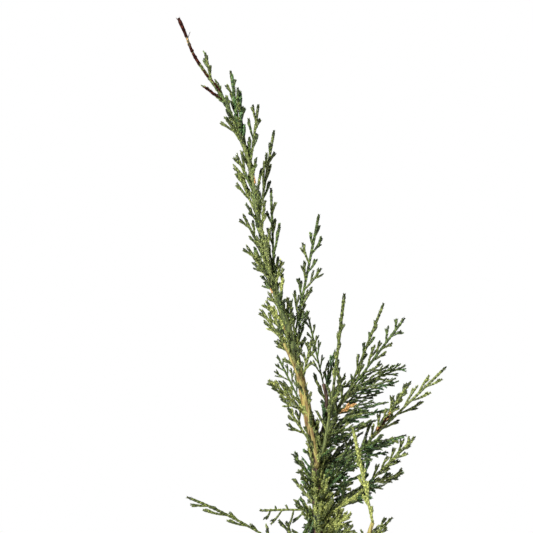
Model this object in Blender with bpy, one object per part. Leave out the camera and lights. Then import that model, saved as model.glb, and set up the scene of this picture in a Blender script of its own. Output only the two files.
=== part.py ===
"""A young juniper shrub, rooted in the ground: trunk, boughs and foliage masses.

Metres, +Z up. The origin is the middle of the flat cut under the trunk, at ground level.
A heading of 0 degrees points to +X and 90 degrees to +Y; a rise is measured up from level.
Sizes in the tables are millimetres and degrees, and are turned into metres when they are used.
"""

import math
import random
from typing import NamedTuple

import bmesh
import bpy
import numpy as np
from mathutils import Matrix, Vector

# ---------------------------------------------------------------- driving sizes
MM = 0.001
GAP = 0.3 * MM  # clear space between two pieces that meet
SEED = 7

PLANT_NAME = "juniper_shrub"
PLANT_HEIGHT = 535 * MM

TRUNK_TIP_RADIUS = 0.8 * MM
TRUNK_TAPER_RADIUS = 6.4 * MM  # what the taper adds at the foot
TRUNK_TAPER_POWER = 1.4
FLARE_RADIUS = 3.0 * MM  # what the root flare adds at ground level
FLARE_HEIGHT = 7.0 * MM  # the flare fades over this height
TRUNK_STEP = 22 * MM  # length of one facet along the trunk
FLARE_STEPS = (0.0, 4 * MM, 10 * MM, 20 * MM)
TRUNK_BEVEL = 2  # 8 sides
BOUGH_BEVEL = 1  # 6 sides
BOUGH_STEPS = 5
CORNER_ROUNDS = 2  # how many times a bough's corners are cut off
CORNER_CUT = 0.25  # share of a run that each cut takes
WELD = 0.01 * MM
SHARP_ANGLE = 50.0

STEM_ROOT_RADIUS = 0.75 * MM
STEM_TIP_RADIUS = 0.5 * MM
STEM_PIECES = 2
TWIG_SIDES = 3
TWIG_SPIN = 120.0  # a twig is turned about its own line by up to this
LEAF_WIDTH = 3.2 * MM  # one leafy cord, with its scale leaves pressed to it
LEAF_THICKNESS = 2.2 * MM
LEAF_SIDES = 3
LEAF_SPIN = 90.0  # a leafy cord is turned about its own line by up to this
LEAF_WIDEST = 0.3  # a leafy cord is widest this share of the way up
LEAF_END = 0.5  # corners beyond this share of its half length are its two ends
TIP_LEAF = 3.0 * MM
SINK = 0.5 * MM  # how far a twig or leaf is rooted in what bears it

LATERAL_SPACING = 3.2 * MM  # between laterals, with a share of the fan more
SPACING_SHARE = 0.27
FIRST_LATERAL = 0.7  # from the stem's root, in spacings
FEWEST_LATERALS = 3
FREE_TIP = 0.16  # share of the stem, at its tip, that bears no laterals
ROOT_SHARE = 0.7  # length of a lateral at the stem's root, as a share of the fan
TIP_FADE = 1.3  # laterals shorten beyond 0.3 of the way up, to 0.3 of the fan at the tip
LATERAL_ANGLE = 31.0
SIDE_ANGLE = 30.0
TILT = 24.0  # how far a lateral may turn out of its spray's plane
ANGLE_SPREAD = (0.75, 1.2)
LENGTH_SPREAD = (0.75, 1.2)
FORK_LENGTH = 10.0 * MM  # a lateral longer than this carries side cords
SIDE_CORDS = ((1, 0.35, 0.45), (-1, 0.55, 0.36))  # side, place on the lateral, share of its length
SIDE_SPREAD = (0.85, 1.1)
FAN_ALLOWANCE = 1.2  # a twig may end this many fan widths from the stem
GROUND_CLEARANCE = 3 * MM
SMALLEST = 1e-12  # guards against dividing by nothing

# Height of a place on the trunk, and how far it has leaned there along X and Y.
TRUNK_LEAN = (
    (0, 0, 0),
    (20, 0, 0),
    (120, 1, 1),
    (175, -1, 0),
    (216, -2, 0),
    (239, -5, 0),
    (278, -12.5, 1),
    (310, -20, 1),
    (334, -28, 0),
    (357, -35, 0),
    (396, -43.5, 1),
    (435, -50, 1),
    (465, -61, 0),
    (481, -69, 0),
    (508, -87.5, -1),
    (526, -95, 0),
    (535, -99, 0),
)


class Bough(NamedTuple):
    """A tapering limb that leaves the trunk and ends where its foliage starts."""

    name: str
    height: float  # where it leaves the trunk
    runs: tuple  # heading, rise and length of each straight run
    radii: tuple  # at its root and at its tip


class Mass(NamedTuple):
    """A spray of foliage that grows from one stem."""

    name: str
    carrier: str
    place: float  # height on the trunk, or distance back from a bough's tip
    heading: float
    rise: float
    length: float
    fan: float  # length of its longest laterals
    roll: float = 0  # turns its plane about the stem, 0 is upright
    bow: float = 0  # how far the middle of its stem is pushed up


BOUGHS = (
    Bough("stem_front", 222, ((-90, 35, 7), (178, 80, 50), (182, 66, 36)), (1.4, 0.9)),
    Bough(
        "stem_second",
        205,
        ((60, 60, 5), (175, 82, 27), (5, 72, 16), (0, 86, 18), (178, 74, 10)),
        (1.9, 1.2),
    ),
    Bough("bough_whip", 227, ((-60, 56, 10), (-5, 80, 18), (12, 82, 26)), (1.4, 0.9)),
    Bough("bough_right_upper", 231, ((0, 62, 14), (8, 76, 22), (10, 50, 18)), (1.7, 1.0)),
    Bough("bough_right_middle", 220, ((-8, 20, 14), (12, 30, 15), (18, 42, 10)), (1.7, 1.0)),
    Bough("bough_right_lower", 187, ((-10, 44, 20), (-4, 32, 19)), (1.7, 1.0)),
    Bough("bough_front_whip", 128, ((-45, 42, 24), (-36, 58, 24), (-20, 70, 22)), (2.1, 1.3)),
    Bough("bough_left_low", 134, ((-160, 36, 14), (-164, 52, 20), (-168, 56, 20)), (2.4, 1.4)),
    Bough("bough_back_low", 88, ((112, 24, 18), (108, 38, 22)), (2.2, 1.3)),
    Bough("bough_front_low", 76, ((-118, 22, 18), (-112, 36, 22)), (2.2, 1.3)),
)

MASSES = (
    # along the leader, from its tip down
    Mass("spray_tip_right", "trunk", 492, 140, 75, 20, 6),
    Mass("spray_tip_left", "trunk", 480, -152, 40, 18, 7),
    Mass("spray_leader_plume", "trunk", 454, 118, 82, 45, 12),
    Mass("spray_leader_left", "trunk", 448, -165, 55, 22, 9),
    Mass("spray_leader_right", "trunk", 433, 40, 79, 43, 12),
    Mass("spray_neck_left", "trunk", 414, -154, 62, 29, 9),
    Mass("spray_neck_plume", "trunk", 396, 50, 74, 64, 14),
    Mass("spray_neck_left_low", "trunk", 398, 160, 64, 35, 10),
    Mass("spray_shoulder_left", "trunk", 366, -160, 61, 36, 10),
    Mass("spray_shoulder_plume", "trunk", 349, 98, 80, 69, 14, 50),
    Mass("spray_shoulder_left_low", "trunk", 351, 164, 53, 31, 10),
    Mass("spray_shoulder_front", "trunk", 354, -112, 62, 44, 12, 60),
    Mass("spray_shoulder_back", "trunk", 338, 118, 46, 52, 14, 50),
    # in the middle
    Mass("spray_tall_right", "trunk", 309, 30, 76, 92, 20),
    Mass("spray_left_tuft", "trunk", 293, -172, 64, 50, 14),
    Mass("spray_left_curl", "trunk", 258, -150, 49, 37, 15, 20, 3),
    Mass("spray_left_small", "trunk", 238, -150, 48, 26, 11),
    Mass("spray_inner_front", "trunk", 282, -50, 68, 32, 11, 30),
    Mass("spray_front_stem", "stem_front", 0, -176, 56, 28, 8),
    Mass("spray_second_stem", "stem_second", 0, 164, 77, 48, 13),
    Mass("spray_second_side", "stem_second", 5, 55, 66, 30, 11),
    Mass("spray_whip", "bough_whip", 0, -20, 83, 64, 7),
    Mass("spray_middle_back", "trunk", 296, 84, 50, 60, 17, 50),
    Mass("spray_inner_back", "trunk", 256, 118, 42, 62, 18, 50),
    # to the right
    Mass("spray_fan_upper", "bough_right_upper", 5, 14, 69, 62, 11),
    Mass("spray_fan_middle", "bough_right_upper", 0, -6, 53, 58, 16),
    Mass("spray_fan_lower", "bough_right_upper", 3, -4, 22, 40, 16, 30),
    Mass("spray_arm_outer", "bough_right_middle", 0, 9, 43, 68, 15),
    Mass("spray_arm_inner", "bough_right_middle", 3, -24, 54, 49, 14, 20),
    Mass("spray_reach_upper", "bough_right_lower", 0, -7, 45, 45, 15),
    Mass("spray_reach_lower", "bough_right_lower", 3, 18, 14, 28, 12, 30),
    Mass("spray_front_whip", "bough_front_whip", 0, -172, 78, 66, 8),
    Mass("spray_dense_upper", "stem_second", 36, 30, 22, 42, 19, 40),
    Mass("spray_dense_middle", "trunk", 207, -28, 34, 42, 18, 40),
    Mass("spray_dense_back", "trunk", 194, 76, 28, 66, 22, 60),
    # low down
    Mass("spray_left_low", "bough_left_low", 0, -172, 25, 60, 12, 20, 3),
    Mass("spray_left_level", "trunk", 187, -174, 5, 38, 14, 20),
    Mass("spray_foot_front", "trunk", 172, -83, 62, 30, 13, 80),
    Mass("spray_foot_right", "trunk", 172, -48, 31, 36, 14, 50),
    Mass("spray_right_low", "trunk", 138, -9, 44, 70, 16, 30),
    Mass("spray_back_low", "bough_back_low", 0, 104, 30, 68, 22, 50, 3),
    Mass("spray_front_low", "bough_front_low", 0, -108, 26, 64, 22, 50, 3),
    Mass("spray_low_right_back", "trunk", 108, 42, 30, 88, 22, 40, 3),
    Mass("spray_low_left_back", "trunk", 114, 150, 24, 84, 22, 40, 3),
    Mass("spray_low_right", "trunk", 66, -16, 30, 92, 22, 40, 3),
    Mass("spray_low_front_right", "trunk", 150, -64, 36, 60, 20, 40, 3),
    Mass("spray_low_front", "trunk", 48, -78, 30, 84, 22, 40, 3),
    Mass("spray_low_back", "trunk", 42, 96, 30, 84, 22, 40, 3),
    Mass("spray_low_left", "trunk", 58, 176, 30, 88, 22, 40, 3),
)

# Base colour, roughness of each kind of piece.
FINISHES = {
    "bark": ((0.16, 0.10, 0.06, 1), 0.85),
    "young_bark": ((0.30, 0.25, 0.10, 1), 0.7),
    "foliage": ((0.13, 0.17, 0.06, 1), 0.6),
}


# ---------------------------------------------------------------- lines and places
def direction(heading, rise):
    """The unit vector of a heading and a rise, both in degrees."""
    level = math.cos(math.radians(rise))
    return Vector(
        (
            level * math.cos(math.radians(heading)),
            level * math.sin(math.radians(heading)),
            math.sin(math.radians(rise)),
        )
    )


def trunk_radius(height):
    """The trunk's radius at a height, with the flare of its foot."""
    left = max(0.0, 1 - height / PLANT_HEIGHT)
    flare = FLARE_RADIUS * math.exp(-height / FLARE_HEIGHT)
    return TRUNK_TIP_RADIUS + TRUNK_TAPER_RADIUS * left**TRUNK_TAPER_POWER + flare


def trunk_point(height):
    """The middle of the trunk at a height, on a smooth line through its leaning places."""
    places = [Vector((x * MM, y * MM, z * MM)) for z, x, y in TRUNK_LEAN]
    last = len(places) - 2
    i = next((k for k in range(last) if height < places[k + 1].z), last)
    before, after = places[max(i - 1, 0)], places[min(i + 2, last + 1)]
    a, b = places[i], places[i + 1]
    span = b.z - a.z
    t = (height - a.z) / span
    rise_a = (b - before) / (b.z - before.z) * span
    rise_b = (after - a) / (after.z - a.z) * span
    point = (
        a * (2 * t**3 - 3 * t**2 + 1)
        + rise_a * (t**3 - 2 * t**2 + t)
        + b * (3 * t**2 - 2 * t**3)
        + rise_b * (t**3 - t**2)
    )
    point.z = height
    return point


def trunk_line():
    """The trunk's middle points and radii, closer together in the flare."""
    start = FLARE_STEPS[-1]
    count = round((PLANT_HEIGHT - start) / TRUNK_STEP)
    heights = list(FLARE_STEPS) + [start + (PLANT_HEIGHT - start) * k / count for k in range(1, count + 1)]
    return [trunk_point(z) for z in heights], [trunk_radius(z) for z in heights]


def bend(corners, steps):
    """Points on a smooth line that starts and ends with the corners, by rounding them off."""
    line = [Vector(c) for c in corners]
    for _ in range(CORNER_ROUNDS):
        cut = [line[0]]
        for a, b in zip(line, line[1:]):
            cut += [a.lerp(b, CORNER_CUT), a.lerp(b, 1 - CORNER_CUT)]
        line = cut + [line[-1]]
    walked = np.cumsum([0.0] + [(b - a).length for a, b in zip(line, line[1:])])
    marks = np.linspace(0, walked[-1], steps + 1)
    axes = [np.interp(marks, walked, [p[axis] for p in line]) for axis in range(3)]
    return [Vector(point) for point in zip(*axes)]


def leave(axis_point, tangent, radius, toward, own_radius):
    """Where a limb that grows toward a direction starts, clear of the limb it leaves."""
    across = toward - tangent * toward.dot(tangent)
    across.normalize()
    return axis_point + across * (radius + GAP + own_radius * abs(toward.dot(tangent)))


def at_height(points, radii, height):
    """The middle, the direction and the radius of the faceted trunk at a height."""
    k = next(k for k in range(1, len(points)) if points[k].z >= height)
    step = points[k] - points[k - 1]
    share = (height - points[k - 1].z) / step.z
    radius = radii[k - 1] + (radii[k] - radii[k - 1]) * share
    return points[k - 1] + step * share, step.normalized(), radius


def below_tip(points, radii, back):
    """The middle, the direction and the radius of a bough, a distance back from its tip."""
    k = len(points) - 1
    while back > (points[k] - points[k - 1]).length:
        back -= (points[k] - points[k - 1]).length
        k -= 1
    step = points[k] - points[k - 1]
    share = back / step.length
    radius = radii[k] + (radii[k - 1] - radii[k]) * share
    return points[k] - step * share, step.normalized(), radius


def bough_line(bough, trunk):
    """A bough's middle points and radii, from the trunk's skin to its tip."""
    root, tip = (r * MM for r in bough.radii)
    axis_point, tangent, radius = at_height(*trunk, bough.height * MM)
    corners = [leave(axis_point, tangent, radius, direction(*bough.runs[0][:2]), root)]
    for heading, rise, length in bough.runs:
        corners.append(corners[-1] + direction(heading, rise) * length * MM)
    radii = [root + (tip - root) * k / BOUGH_STEPS for k in range(BOUGH_STEPS + 1)]
    return bend(corners, BOUGH_STEPS), radii


def mass_stem(mass, limbs):
    """The points of a mass's stem, from 0.3 mm clear of what carries it to its tip."""
    toward = direction(mass.heading, mass.rise)
    find = at_height if mass.carrier == "trunk" else below_tip
    axis_point, tangent, radius = find(*limbs[mass.carrier], mass.place * MM)
    if mass.carrier != "trunk" and mass.place == 0:
        off_line = math.sqrt(max(0.0, 1 - toward.dot(tangent) ** 2))
        start = axis_point + tangent * (GAP + STEM_ROOT_RADIUS * off_line)
    else:
        start = leave(axis_point, tangent, radius, toward, STEM_ROOT_RADIUS)
    tip = axis_point + toward * mass.length * MM
    middle = start.lerp(tip, 0.5) + Vector((0, 0, mass.bow * MM))
    shares = [k / STEM_PIECES for k in range(STEM_PIECES + 1)]
    return [start * (1 - t) ** 2 + middle * 2 * t * (1 - t) + tip * t**2 for t in shares]


# ---------------------------------------------------------------- growth
class Cord(NamedTuple):
    """One straight twig or leafy cord of a mass."""

    leafy: bool
    start: Vector
    end: Vector
    start_radius: float
    end_radius: float
    spin: float


class Room:
    """Everything grown so far, for telling whether a new cord stays clear of it."""

    def __init__(self):
        self.starts, self.ends, self.radii, self.owners = [], [], [], []

    def add(self, owner, start, end, radius):
        self.starts.append(start)
        self.ends.append(end)
        self.radii.append(radius)
        self.owners.append(owner)

    def clear(self, owner, start, end, radius):
        """True where a cord lies clear of all that belongs to another node."""
        others = np.array([name != owner for name in self.owners])
        p, q = np.array(start), np.array(end)
        a, b = np.array(self.starts)[others], np.array(self.ends)[others]
        limits = np.array(self.radii)[others] + radius + GAP
        return bool(np.all(nearest(p, q, a, b) > limits))


def nearest(p, q, a, b):
    """The least distance from the segment p to q to each of the segments a to b."""
    own, theirs, apart = q - p, b - a, p - a
    own_square = own @ own
    their_square = np.maximum(np.einsum("ij,ij->i", theirs, theirs), SMALLEST)
    their_apart = np.einsum("ij,ij->i", theirs, apart)
    own_apart = apart @ own
    both = theirs @ own
    slack = np.maximum(own_square * their_square - both**2, SMALLEST**2)
    s = np.clip((both * their_apart - own_apart * their_square) / slack, 0, 1)
    t = (both * s + their_apart) / their_square
    s = np.where(t < 0, np.clip(-own_apart / own_square, 0, 1), s)
    s = np.where(t > 1, np.clip((both - own_apart) / own_square, 0, 1), s)
    t = np.clip(t, 0, 1)
    return np.linalg.norm(apart + s[:, None] * own - t[:, None] * theirs, axis=1)


def stem_cords(line, rng):
    """The three-sided twigs of a mass's stem, each rooted in the one before."""
    radii = np.linspace(STEM_ROOT_RADIUS, STEM_TIP_RADIUS, STEM_PIECES + 1)
    cords = []
    for k, (a, b) in enumerate(zip(line, line[1:])):
        along = (b - a).normalized()
        start = a if k == 0 else a - along * SINK
        cords.append(Cord(False, start, b, radii[k], radii[k + 1], rng.uniform(0, TWIG_SPIN)))
    return cords


def on_stem(line, t):
    """The point a share t of the way up a stem, and the direction of the stem there."""
    k = min(int(t * STEM_PIECES), STEM_PIECES - 1)
    return line[k].lerp(line[k + 1], t * STEM_PIECES - k), (line[k + 1] - line[k]).normalized()


def lateral_share(t):
    """How long a lateral is for its place on the stem: longest a third of the way up."""
    return min(1.0, ROOT_SHARE + t) * min(1.0, TIP_FADE - t)


def leaf(start, toward, length, rng):
    """A leafy cord, rooted in the twig at its start."""
    half = LEAF_WIDTH / 2
    return Cord(True, start - toward * SINK, start + toward * length, half, half, rng.uniform(0, LEAF_SPIN))


def lateral(start, toward, normal, length, side, rng):
    """One lateral: a leafy cord, and where it is long, side cords that grow from it."""
    cords = [leaf(start, toward, length, rng)]
    if length > FORK_LENGTH:
        for hand, place, share in SIDE_CORDS:
            branch = Matrix.Rotation(math.radians(hand * side * SIDE_ANGLE), 3, normal) @ toward
            reach = length * share * rng.uniform(*SIDE_SPREAD)
            cords.append(leaf(start + toward * length * place, branch, reach, rng))
    return cords


def laterals(mass, line, rng):
    """The groups of cords that a mass's rule lays along its stem, and the leafy tip."""
    upright = Vector((-math.sin(math.radians(mass.heading)), math.cos(math.radians(mass.heading)), 0))
    bearing = 1 - FREE_TIP
    spacing = LATERAL_SPACING + SPACING_SHARE * mass.fan * MM
    count = max(FEWEST_LATERALS, round(mass.length * MM * bearing / spacing))
    groups = []
    for k in range(count):
        t = (k + FIRST_LATERAL) / count * bearing
        start, along = on_stem(line, t)
        side = 1 if k % 2 else -1
        normal = Matrix.Rotation(math.radians(mass.roll + rng.uniform(-TILT, TILT)), 3, along) @ upright
        angle = side * LATERAL_ANGLE * rng.uniform(*ANGLE_SPREAD)
        toward = (Matrix.Rotation(math.radians(angle), 3, normal) @ along).normalized()
        length = mass.fan * MM * lateral_share(t) * rng.uniform(*LENGTH_SPREAD)
        groups.append(lateral(start, toward, normal, length, side, rng))
    tip, along = on_stem(line, 1)
    groups.append([leaf(tip, along, TIP_LEAF, rng)])
    return groups


def stays_home(mass, line, cord):
    """True where a cord ends within its mass's own space and above the ground."""
    a, b = np.array(line[:-1]), np.array(line[1:])
    end = np.array(cord.end)
    far = nearest(end, end + WELD, a, b).min()
    return far < mass.fan * MM * FAN_ALLOWANCE and cord.end.z > GROUND_CLEARANCE


def grow(limbs):
    """The cords of every mass: all the stems first, then the laterals in turn."""
    room = Room()
    for name, (points, radii) in limbs.items():
        for a, b, radius in zip(points, points[1:], radii):
            room.add(name, a, b, radius)
    lines, cords, dice = {}, {}, {}
    for mass in MASSES:
        dice[mass.name] = random.Random(f"{SEED} {mass.name}")
        lines[mass.name] = mass_stem(mass, limbs)
        cords[mass.name] = stem_cords(lines[mass.name], dice[mass.name])
        for cord in cords[mass.name]:
            room.add(mass.name, cord.start, cord.end, cord.start_radius)
    for mass in MASSES:
        for group in laterals(mass, lines[mass.name], dice[mass.name]):
            for place, cord in enumerate(group):
                radius = max(cord.start_radius, cord.end_radius)
                fits = stays_home(mass, lines[mass.name], cord)
                if not (fits and room.clear(mass.name, cord.start, cord.end, radius)):
                    if place == 0:
                        break
                    continue
                cords[mass.name].append(cord)
                room.add(mass.name, cord.start, cord.end, radius)
    return cords


# ---------------------------------------------------------------- solids
def clear_scene():
    """Removes whatever the scene holds, so that the plant stands alone."""
    for item in list(bpy.data.objects):
        bpy.data.objects.remove(item, do_unlink=True)


def new_collection(name):
    """A collection of the scene."""
    collection = bpy.data.collections.new(name)
    bpy.context.scene.collection.children.link(collection)
    return collection


def finish(item, kind):
    """Gives an object its own material, of one of the plant's finishes."""
    colour, roughness = FINISHES[kind]
    material = bpy.data.materials.new(item.name)
    material.use_nodes = True
    shader = material.node_tree.nodes["Principled BSDF"]
    shader.inputs["Base Color"].default_value = colour
    shader.inputs["Roughness"].default_value = roughness
    item.data.materials.clear()
    item.data.materials.append(material)


def limb(name, points, radii, bevel, kind, collection):
    """A tapering limb: a bevelled curve with filled caps, turned into a welded mesh."""
    curve = bpy.data.curves.new(name, "CURVE")
    curve.dimensions = "3D"
    curve.bevel_depth = 1.0
    curve.bevel_resolution = bevel
    curve.use_fill_caps = True
    spline = curve.splines.new("POLY")
    spline.points.add(len(points) - 1)
    for knot, point, radius in zip(spline.points, points, radii):
        knot.co = (*point, 1)
        knot.radius = radius
    guide = bpy.data.objects.new(name + "_line", curve)
    collection.objects.link(guide)
    bpy.context.view_layer.update()
    solid = guide.evaluated_get(bpy.context.evaluated_depsgraph_get())
    mesh = bpy.data.meshes.new_from_object(solid)
    bpy.data.objects.remove(guide)
    bpy.data.curves.remove(curve)
    shape = bmesh.new()
    shape.from_mesh(mesh)
    bmesh.ops.remove_doubles(shape, verts=shape.verts, dist=WELD)
    bmesh.ops.recalc_face_normals(shape, faces=shape.faces)
    shape.to_mesh(mesh)
    shape.free()
    mesh.shade_smooth()
    mesh.set_sharp_from_angle(angle=math.radians(SHARP_ANGLE))
    item = bpy.data.objects.new(name, mesh)
    collection.objects.link(item)
    finish(item, kind)
    return item


def cord_object(name, cord, collection):
    """A twig as a three-sided cone, or a leafy cord as a spindle."""
    along = cord.end - cord.start
    aim = along.to_track_quat("Z", "Y").to_matrix().to_4x4()
    spin = Matrix.Rotation(math.radians(cord.spin), 4, "Z")
    place = Matrix.Translation(cord.start.lerp(cord.end, 0.5)) @ aim @ spin
    shape = bmesh.new()
    if cord.leafy:
        ring = bmesh.ops.create_uvsphere(shape, u_segments=LEAF_SIDES, v_segments=2, radius=1)["verts"]
        for corner in ring:
            if abs(corner.co.z) < LEAF_END:
                corner.co.z = 2 * LEAF_WIDEST - 1
        size = Matrix.Diagonal((LEAF_WIDTH / 2, LEAF_THICKNESS / 2, along.length / 2, 1))
        bmesh.ops.transform(shape, matrix=place @ size, verts=ring)
    else:
        bmesh.ops.create_cone(
            shape,
            cap_ends=True,
            segments=TWIG_SIDES,
            radius1=cord.start_radius,
            radius2=cord.end_radius,
            depth=along.length,
            matrix=place,
        )
    bmesh.ops.recalc_face_normals(shape, faces=shape.faces)
    mesh = bpy.data.meshes.new(name)
    shape.to_mesh(mesh)
    shape.free()
    item = bpy.data.objects.new(name, mesh)
    item.hide_render = True
    item.display_type = "WIRE"
    collection.objects.link(item)
    return item


def mass_object(name, cords, collection, helpers):
    """One foliage mass: its first twig joined with all its others in one union."""
    root = cord_object(name, cords[0], collection)
    root.hide_render = False
    root.display_type = "TEXTURED"
    parts = [cord_object(f"{name}_cord_{k}", cord, helpers) for k, cord in enumerate(cords[1:])]
    union = root.modifiers.new("union", "BOOLEAN")
    union.operation = "UNION"
    union.operand_type = "COLLECTION"
    union.collection = helpers
    union.solver = "MANIFOLD"
    bpy.context.view_layer.update()
    joined = bpy.data.meshes.new_from_object(root.evaluated_get(bpy.context.evaluated_depsgraph_get()))
    root.modifiers.remove(union)
    root.data = joined
    root.data.name = name
    for part in parts:
        bpy.data.objects.remove(part)
    finish(root, "foliage")
    return root


def main():
    """Builds the trunk, the boughs and the foliage masses."""
    clear_scene()
    plant = new_collection(PLANT_NAME)
    helpers = new_collection("helpers")
    limbs = {"trunk": trunk_line()}
    for bough in BOUGHS:
        limbs[bough.name] = bough_line(bough, limbs["trunk"])
    limb("trunk", *limbs["trunk"], TRUNK_BEVEL, "bark", plant)
    for bough in BOUGHS:
        limb(bough.name, *limbs[bough.name], BOUGH_BEVEL, "young_bark", plant)
    for name, cords in grow(limbs).items():
        mass_object(name, cords, plant, helpers)
    bpy.data.collections.remove(helpers)


main()
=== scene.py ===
"""Looks of a young juniper shrub: fissured bark, tapering boughs and sprays of scale foliage.

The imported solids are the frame. Each limb and each mass of foliage is replaced by a finer one
that grows by the same rule from the same places. Metres, +Z up, the ground at z = 0.
A heading of 0 degrees points to +X and 90 degrees to +Y, and a rise is measured up from level.
"""

import logging
import math
import random
from dataclasses import dataclass, field
from enum import Enum

import bpy
import numpy as np
from mathutils import Matrix, Vector, noise


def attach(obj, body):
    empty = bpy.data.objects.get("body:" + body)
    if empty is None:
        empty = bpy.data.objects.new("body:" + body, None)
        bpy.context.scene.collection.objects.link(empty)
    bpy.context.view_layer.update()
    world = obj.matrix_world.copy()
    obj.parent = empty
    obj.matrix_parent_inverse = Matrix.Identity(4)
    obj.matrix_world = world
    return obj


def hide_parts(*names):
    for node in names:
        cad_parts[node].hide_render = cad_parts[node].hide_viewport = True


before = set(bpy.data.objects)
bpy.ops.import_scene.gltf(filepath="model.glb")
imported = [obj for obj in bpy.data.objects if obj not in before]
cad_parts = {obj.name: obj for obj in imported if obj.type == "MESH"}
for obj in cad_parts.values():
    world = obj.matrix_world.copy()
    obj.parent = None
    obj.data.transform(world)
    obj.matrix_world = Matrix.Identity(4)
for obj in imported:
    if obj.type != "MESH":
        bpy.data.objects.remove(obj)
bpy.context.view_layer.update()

LOG = logging.getLogger("juniper")
MM = 0.001
SEED = 7
BODY = "root"
MOST_TRIANGLES = 190000  # in one joined piece
CORNER_ROUNDS = 2  # how many times a line's corners are cut off
CORNER_CUT = 0.25  # share of a run that each cut takes
TINY = 1e-9  # keeps a vector without length from being divided by nothing
BUMP_STRENGTH = 0.6
BACK = (0, 1, 0)
WHOLE = (0.0, 1.0)
RIGHT_ANGLE = 90.0
HALF_TURN = 180.0
FULL_TURN = 360.0
JITTER = (0.2, 0.8)  # where in its own stretch of a limb a shoot or twig may stand

Colour = tuple[float, float, float]
Place = tuple[float, float, float]
Range = tuple[float, float]
Mesh = tuple[np.ndarray, np.ndarray]  # vertices, and triangles by vertex number


# ---------------------------------------------------------------- directions and lines
def direction(heading: float, rise: float) -> Vector:
    """Finds the unit vector of a heading and a rise.

    Args:
        heading: degrees round from +X towards +Y.
        rise: degrees up from level.

    Returns:
        The unit vector.
    """
    level = math.cos(math.radians(rise))
    east, north = math.cos(math.radians(heading)), math.sin(math.radians(heading))
    return Vector((level * east, level * north, math.sin(math.radians(rise))))


def turned(vector: Vector, degrees: float, axis: Vector) -> Vector:
    """Turns a vector about an axis.

    Args:
        vector: the vector to turn.
        degrees: how far, by the right-hand rule.
        axis: the axis to turn about.

    Returns:
        The turned vector.
    """
    return Matrix.Rotation(math.radians(degrees), 3, axis) @ vector


def rounded(corners: list[Vector], steps: int) -> list[Vector]:
    """Rounds the corners off a line and spaces its points evenly.

    Args:
        corners: the points of the line.
        steps: how many stretches the new line has.

    Returns:
        The points of the new line, which starts and ends where the old one does.
    """
    line = list(corners)
    for _ in range(CORNER_ROUNDS):
        cut = [line[0]]
        for a, b in zip(line, line[1:]):
            cut += [a.lerp(b, CORNER_CUT), a.lerp(b, 1 - CORNER_CUT)]
        line = cut + [line[-1]]
    walked = np.cumsum([0.0] + [(b - a).length for a, b in zip(line, line[1:])])
    marks = np.linspace(0, walked[-1], steps + 1)
    axes = [np.interp(marks, walked, [p[axis] for p in line]) for axis in range(3)]
    return [Vector(p) for p in zip(*axes)]


@dataclass
class Line:
    """A limb's middle line with its radii, for finding places on it."""

    points: list[Vector]
    radii: list[float]

    def at_height(self, height: float) -> tuple[Vector, Vector, float]:
        """Finds a place by its height.

        Args:
            height: metres above the ground.

        Returns:
            The middle, the direction and the radius there.
        """
        last = len(self.points) - 1
        k = next((k for k in range(1, last) if self.points[k].z >= height), last)
        step = self.points[k] - self.points[k - 1]
        share = (height - self.points[k - 1].z) / step.z
        radius = self.radii[k - 1] + (self.radii[k] - self.radii[k - 1]) * share
        return self.points[k - 1] + step * share, step.normalized(), radius

    def below_tip(self, back: float) -> tuple[Vector, Vector, float]:
        """Finds a place by its distance back from the tip.

        Args:
            back: metres along the line from its tip.

        Returns:
            The middle, the direction and the radius there.
        """
        k = len(self.points) - 1
        while k > 1 and back > (self.points[k] - self.points[k - 1]).length:
            back -= (self.points[k] - self.points[k - 1]).length
            k -= 1
        step = self.points[k] - self.points[k - 1]
        share = min(1.0, back / step.length)
        radius = self.radii[k] + (self.radii[k - 1] - self.radii[k]) * share
        return self.points[k] - step * share, step.normalized(), radius

    def length(self) -> float:
        """The length of the line in metres."""
        return sum((b - a).length for a, b in zip(self.points, self.points[1:]))


# ---------------------------------------------------------------- finishes
class Tone(Enum):
    """The colours that the foliage is dealt out in, spray by spray."""

    LIME = "lime"
    FRESH = "fresh"
    MID = "mid"
    DEEP = "deep"
    SHADE = "shade"
    STRAW = "straw"
    BRONZE = "bronze"
    WITHERED = "withered"
    BUD = "bud"


def add_node(tree: bpy.types.NodeTree, kind: str, **settings: object) -> bpy.types.Node:
    """Adds a node to a tree.

    Args:
        tree: the node tree.
        kind: the node's Blender type.
        settings: attributes to set on it.

    Returns:
        The new node.
    """
    node = tree.nodes.new(kind)
    for name, value in settings.items():
        setattr(node, name, value)
    return node


def add_range(tree: bpy.types.NodeTree, source: Range, target: Range = WHOLE) -> bpy.types.Node:
    """Adds a node that turns one range of values into another.

    Args:
        tree: the node tree.
        source: the range that comes in.
        target: the range that goes out.

    Returns:
        The new node.
    """
    node = add_node(tree, "ShaderNodeMapRange")
    for label, value in zip(("From Min", "From Max", "To Min", "To Max"), source + target):
        node.inputs[label].default_value = value
    return node


def add_noise(tree: bpy.types.NodeTree, detail: float, roughness: float = 0.5) -> bpy.types.Node:
    """Adds a cloudy noise texture in three dimensions.

    Args:
        tree: the node tree.
        detail: how many finer layers it has.
        roughness: how strong the finer layers are.

    Returns:
        The new node.
    """
    node = add_node(tree, "ShaderNodeTexNoise", noise_dimensions="3D")
    node.inputs["Detail"].default_value = detail
    node.inputs["Roughness"].default_value = roughness
    return node


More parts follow.
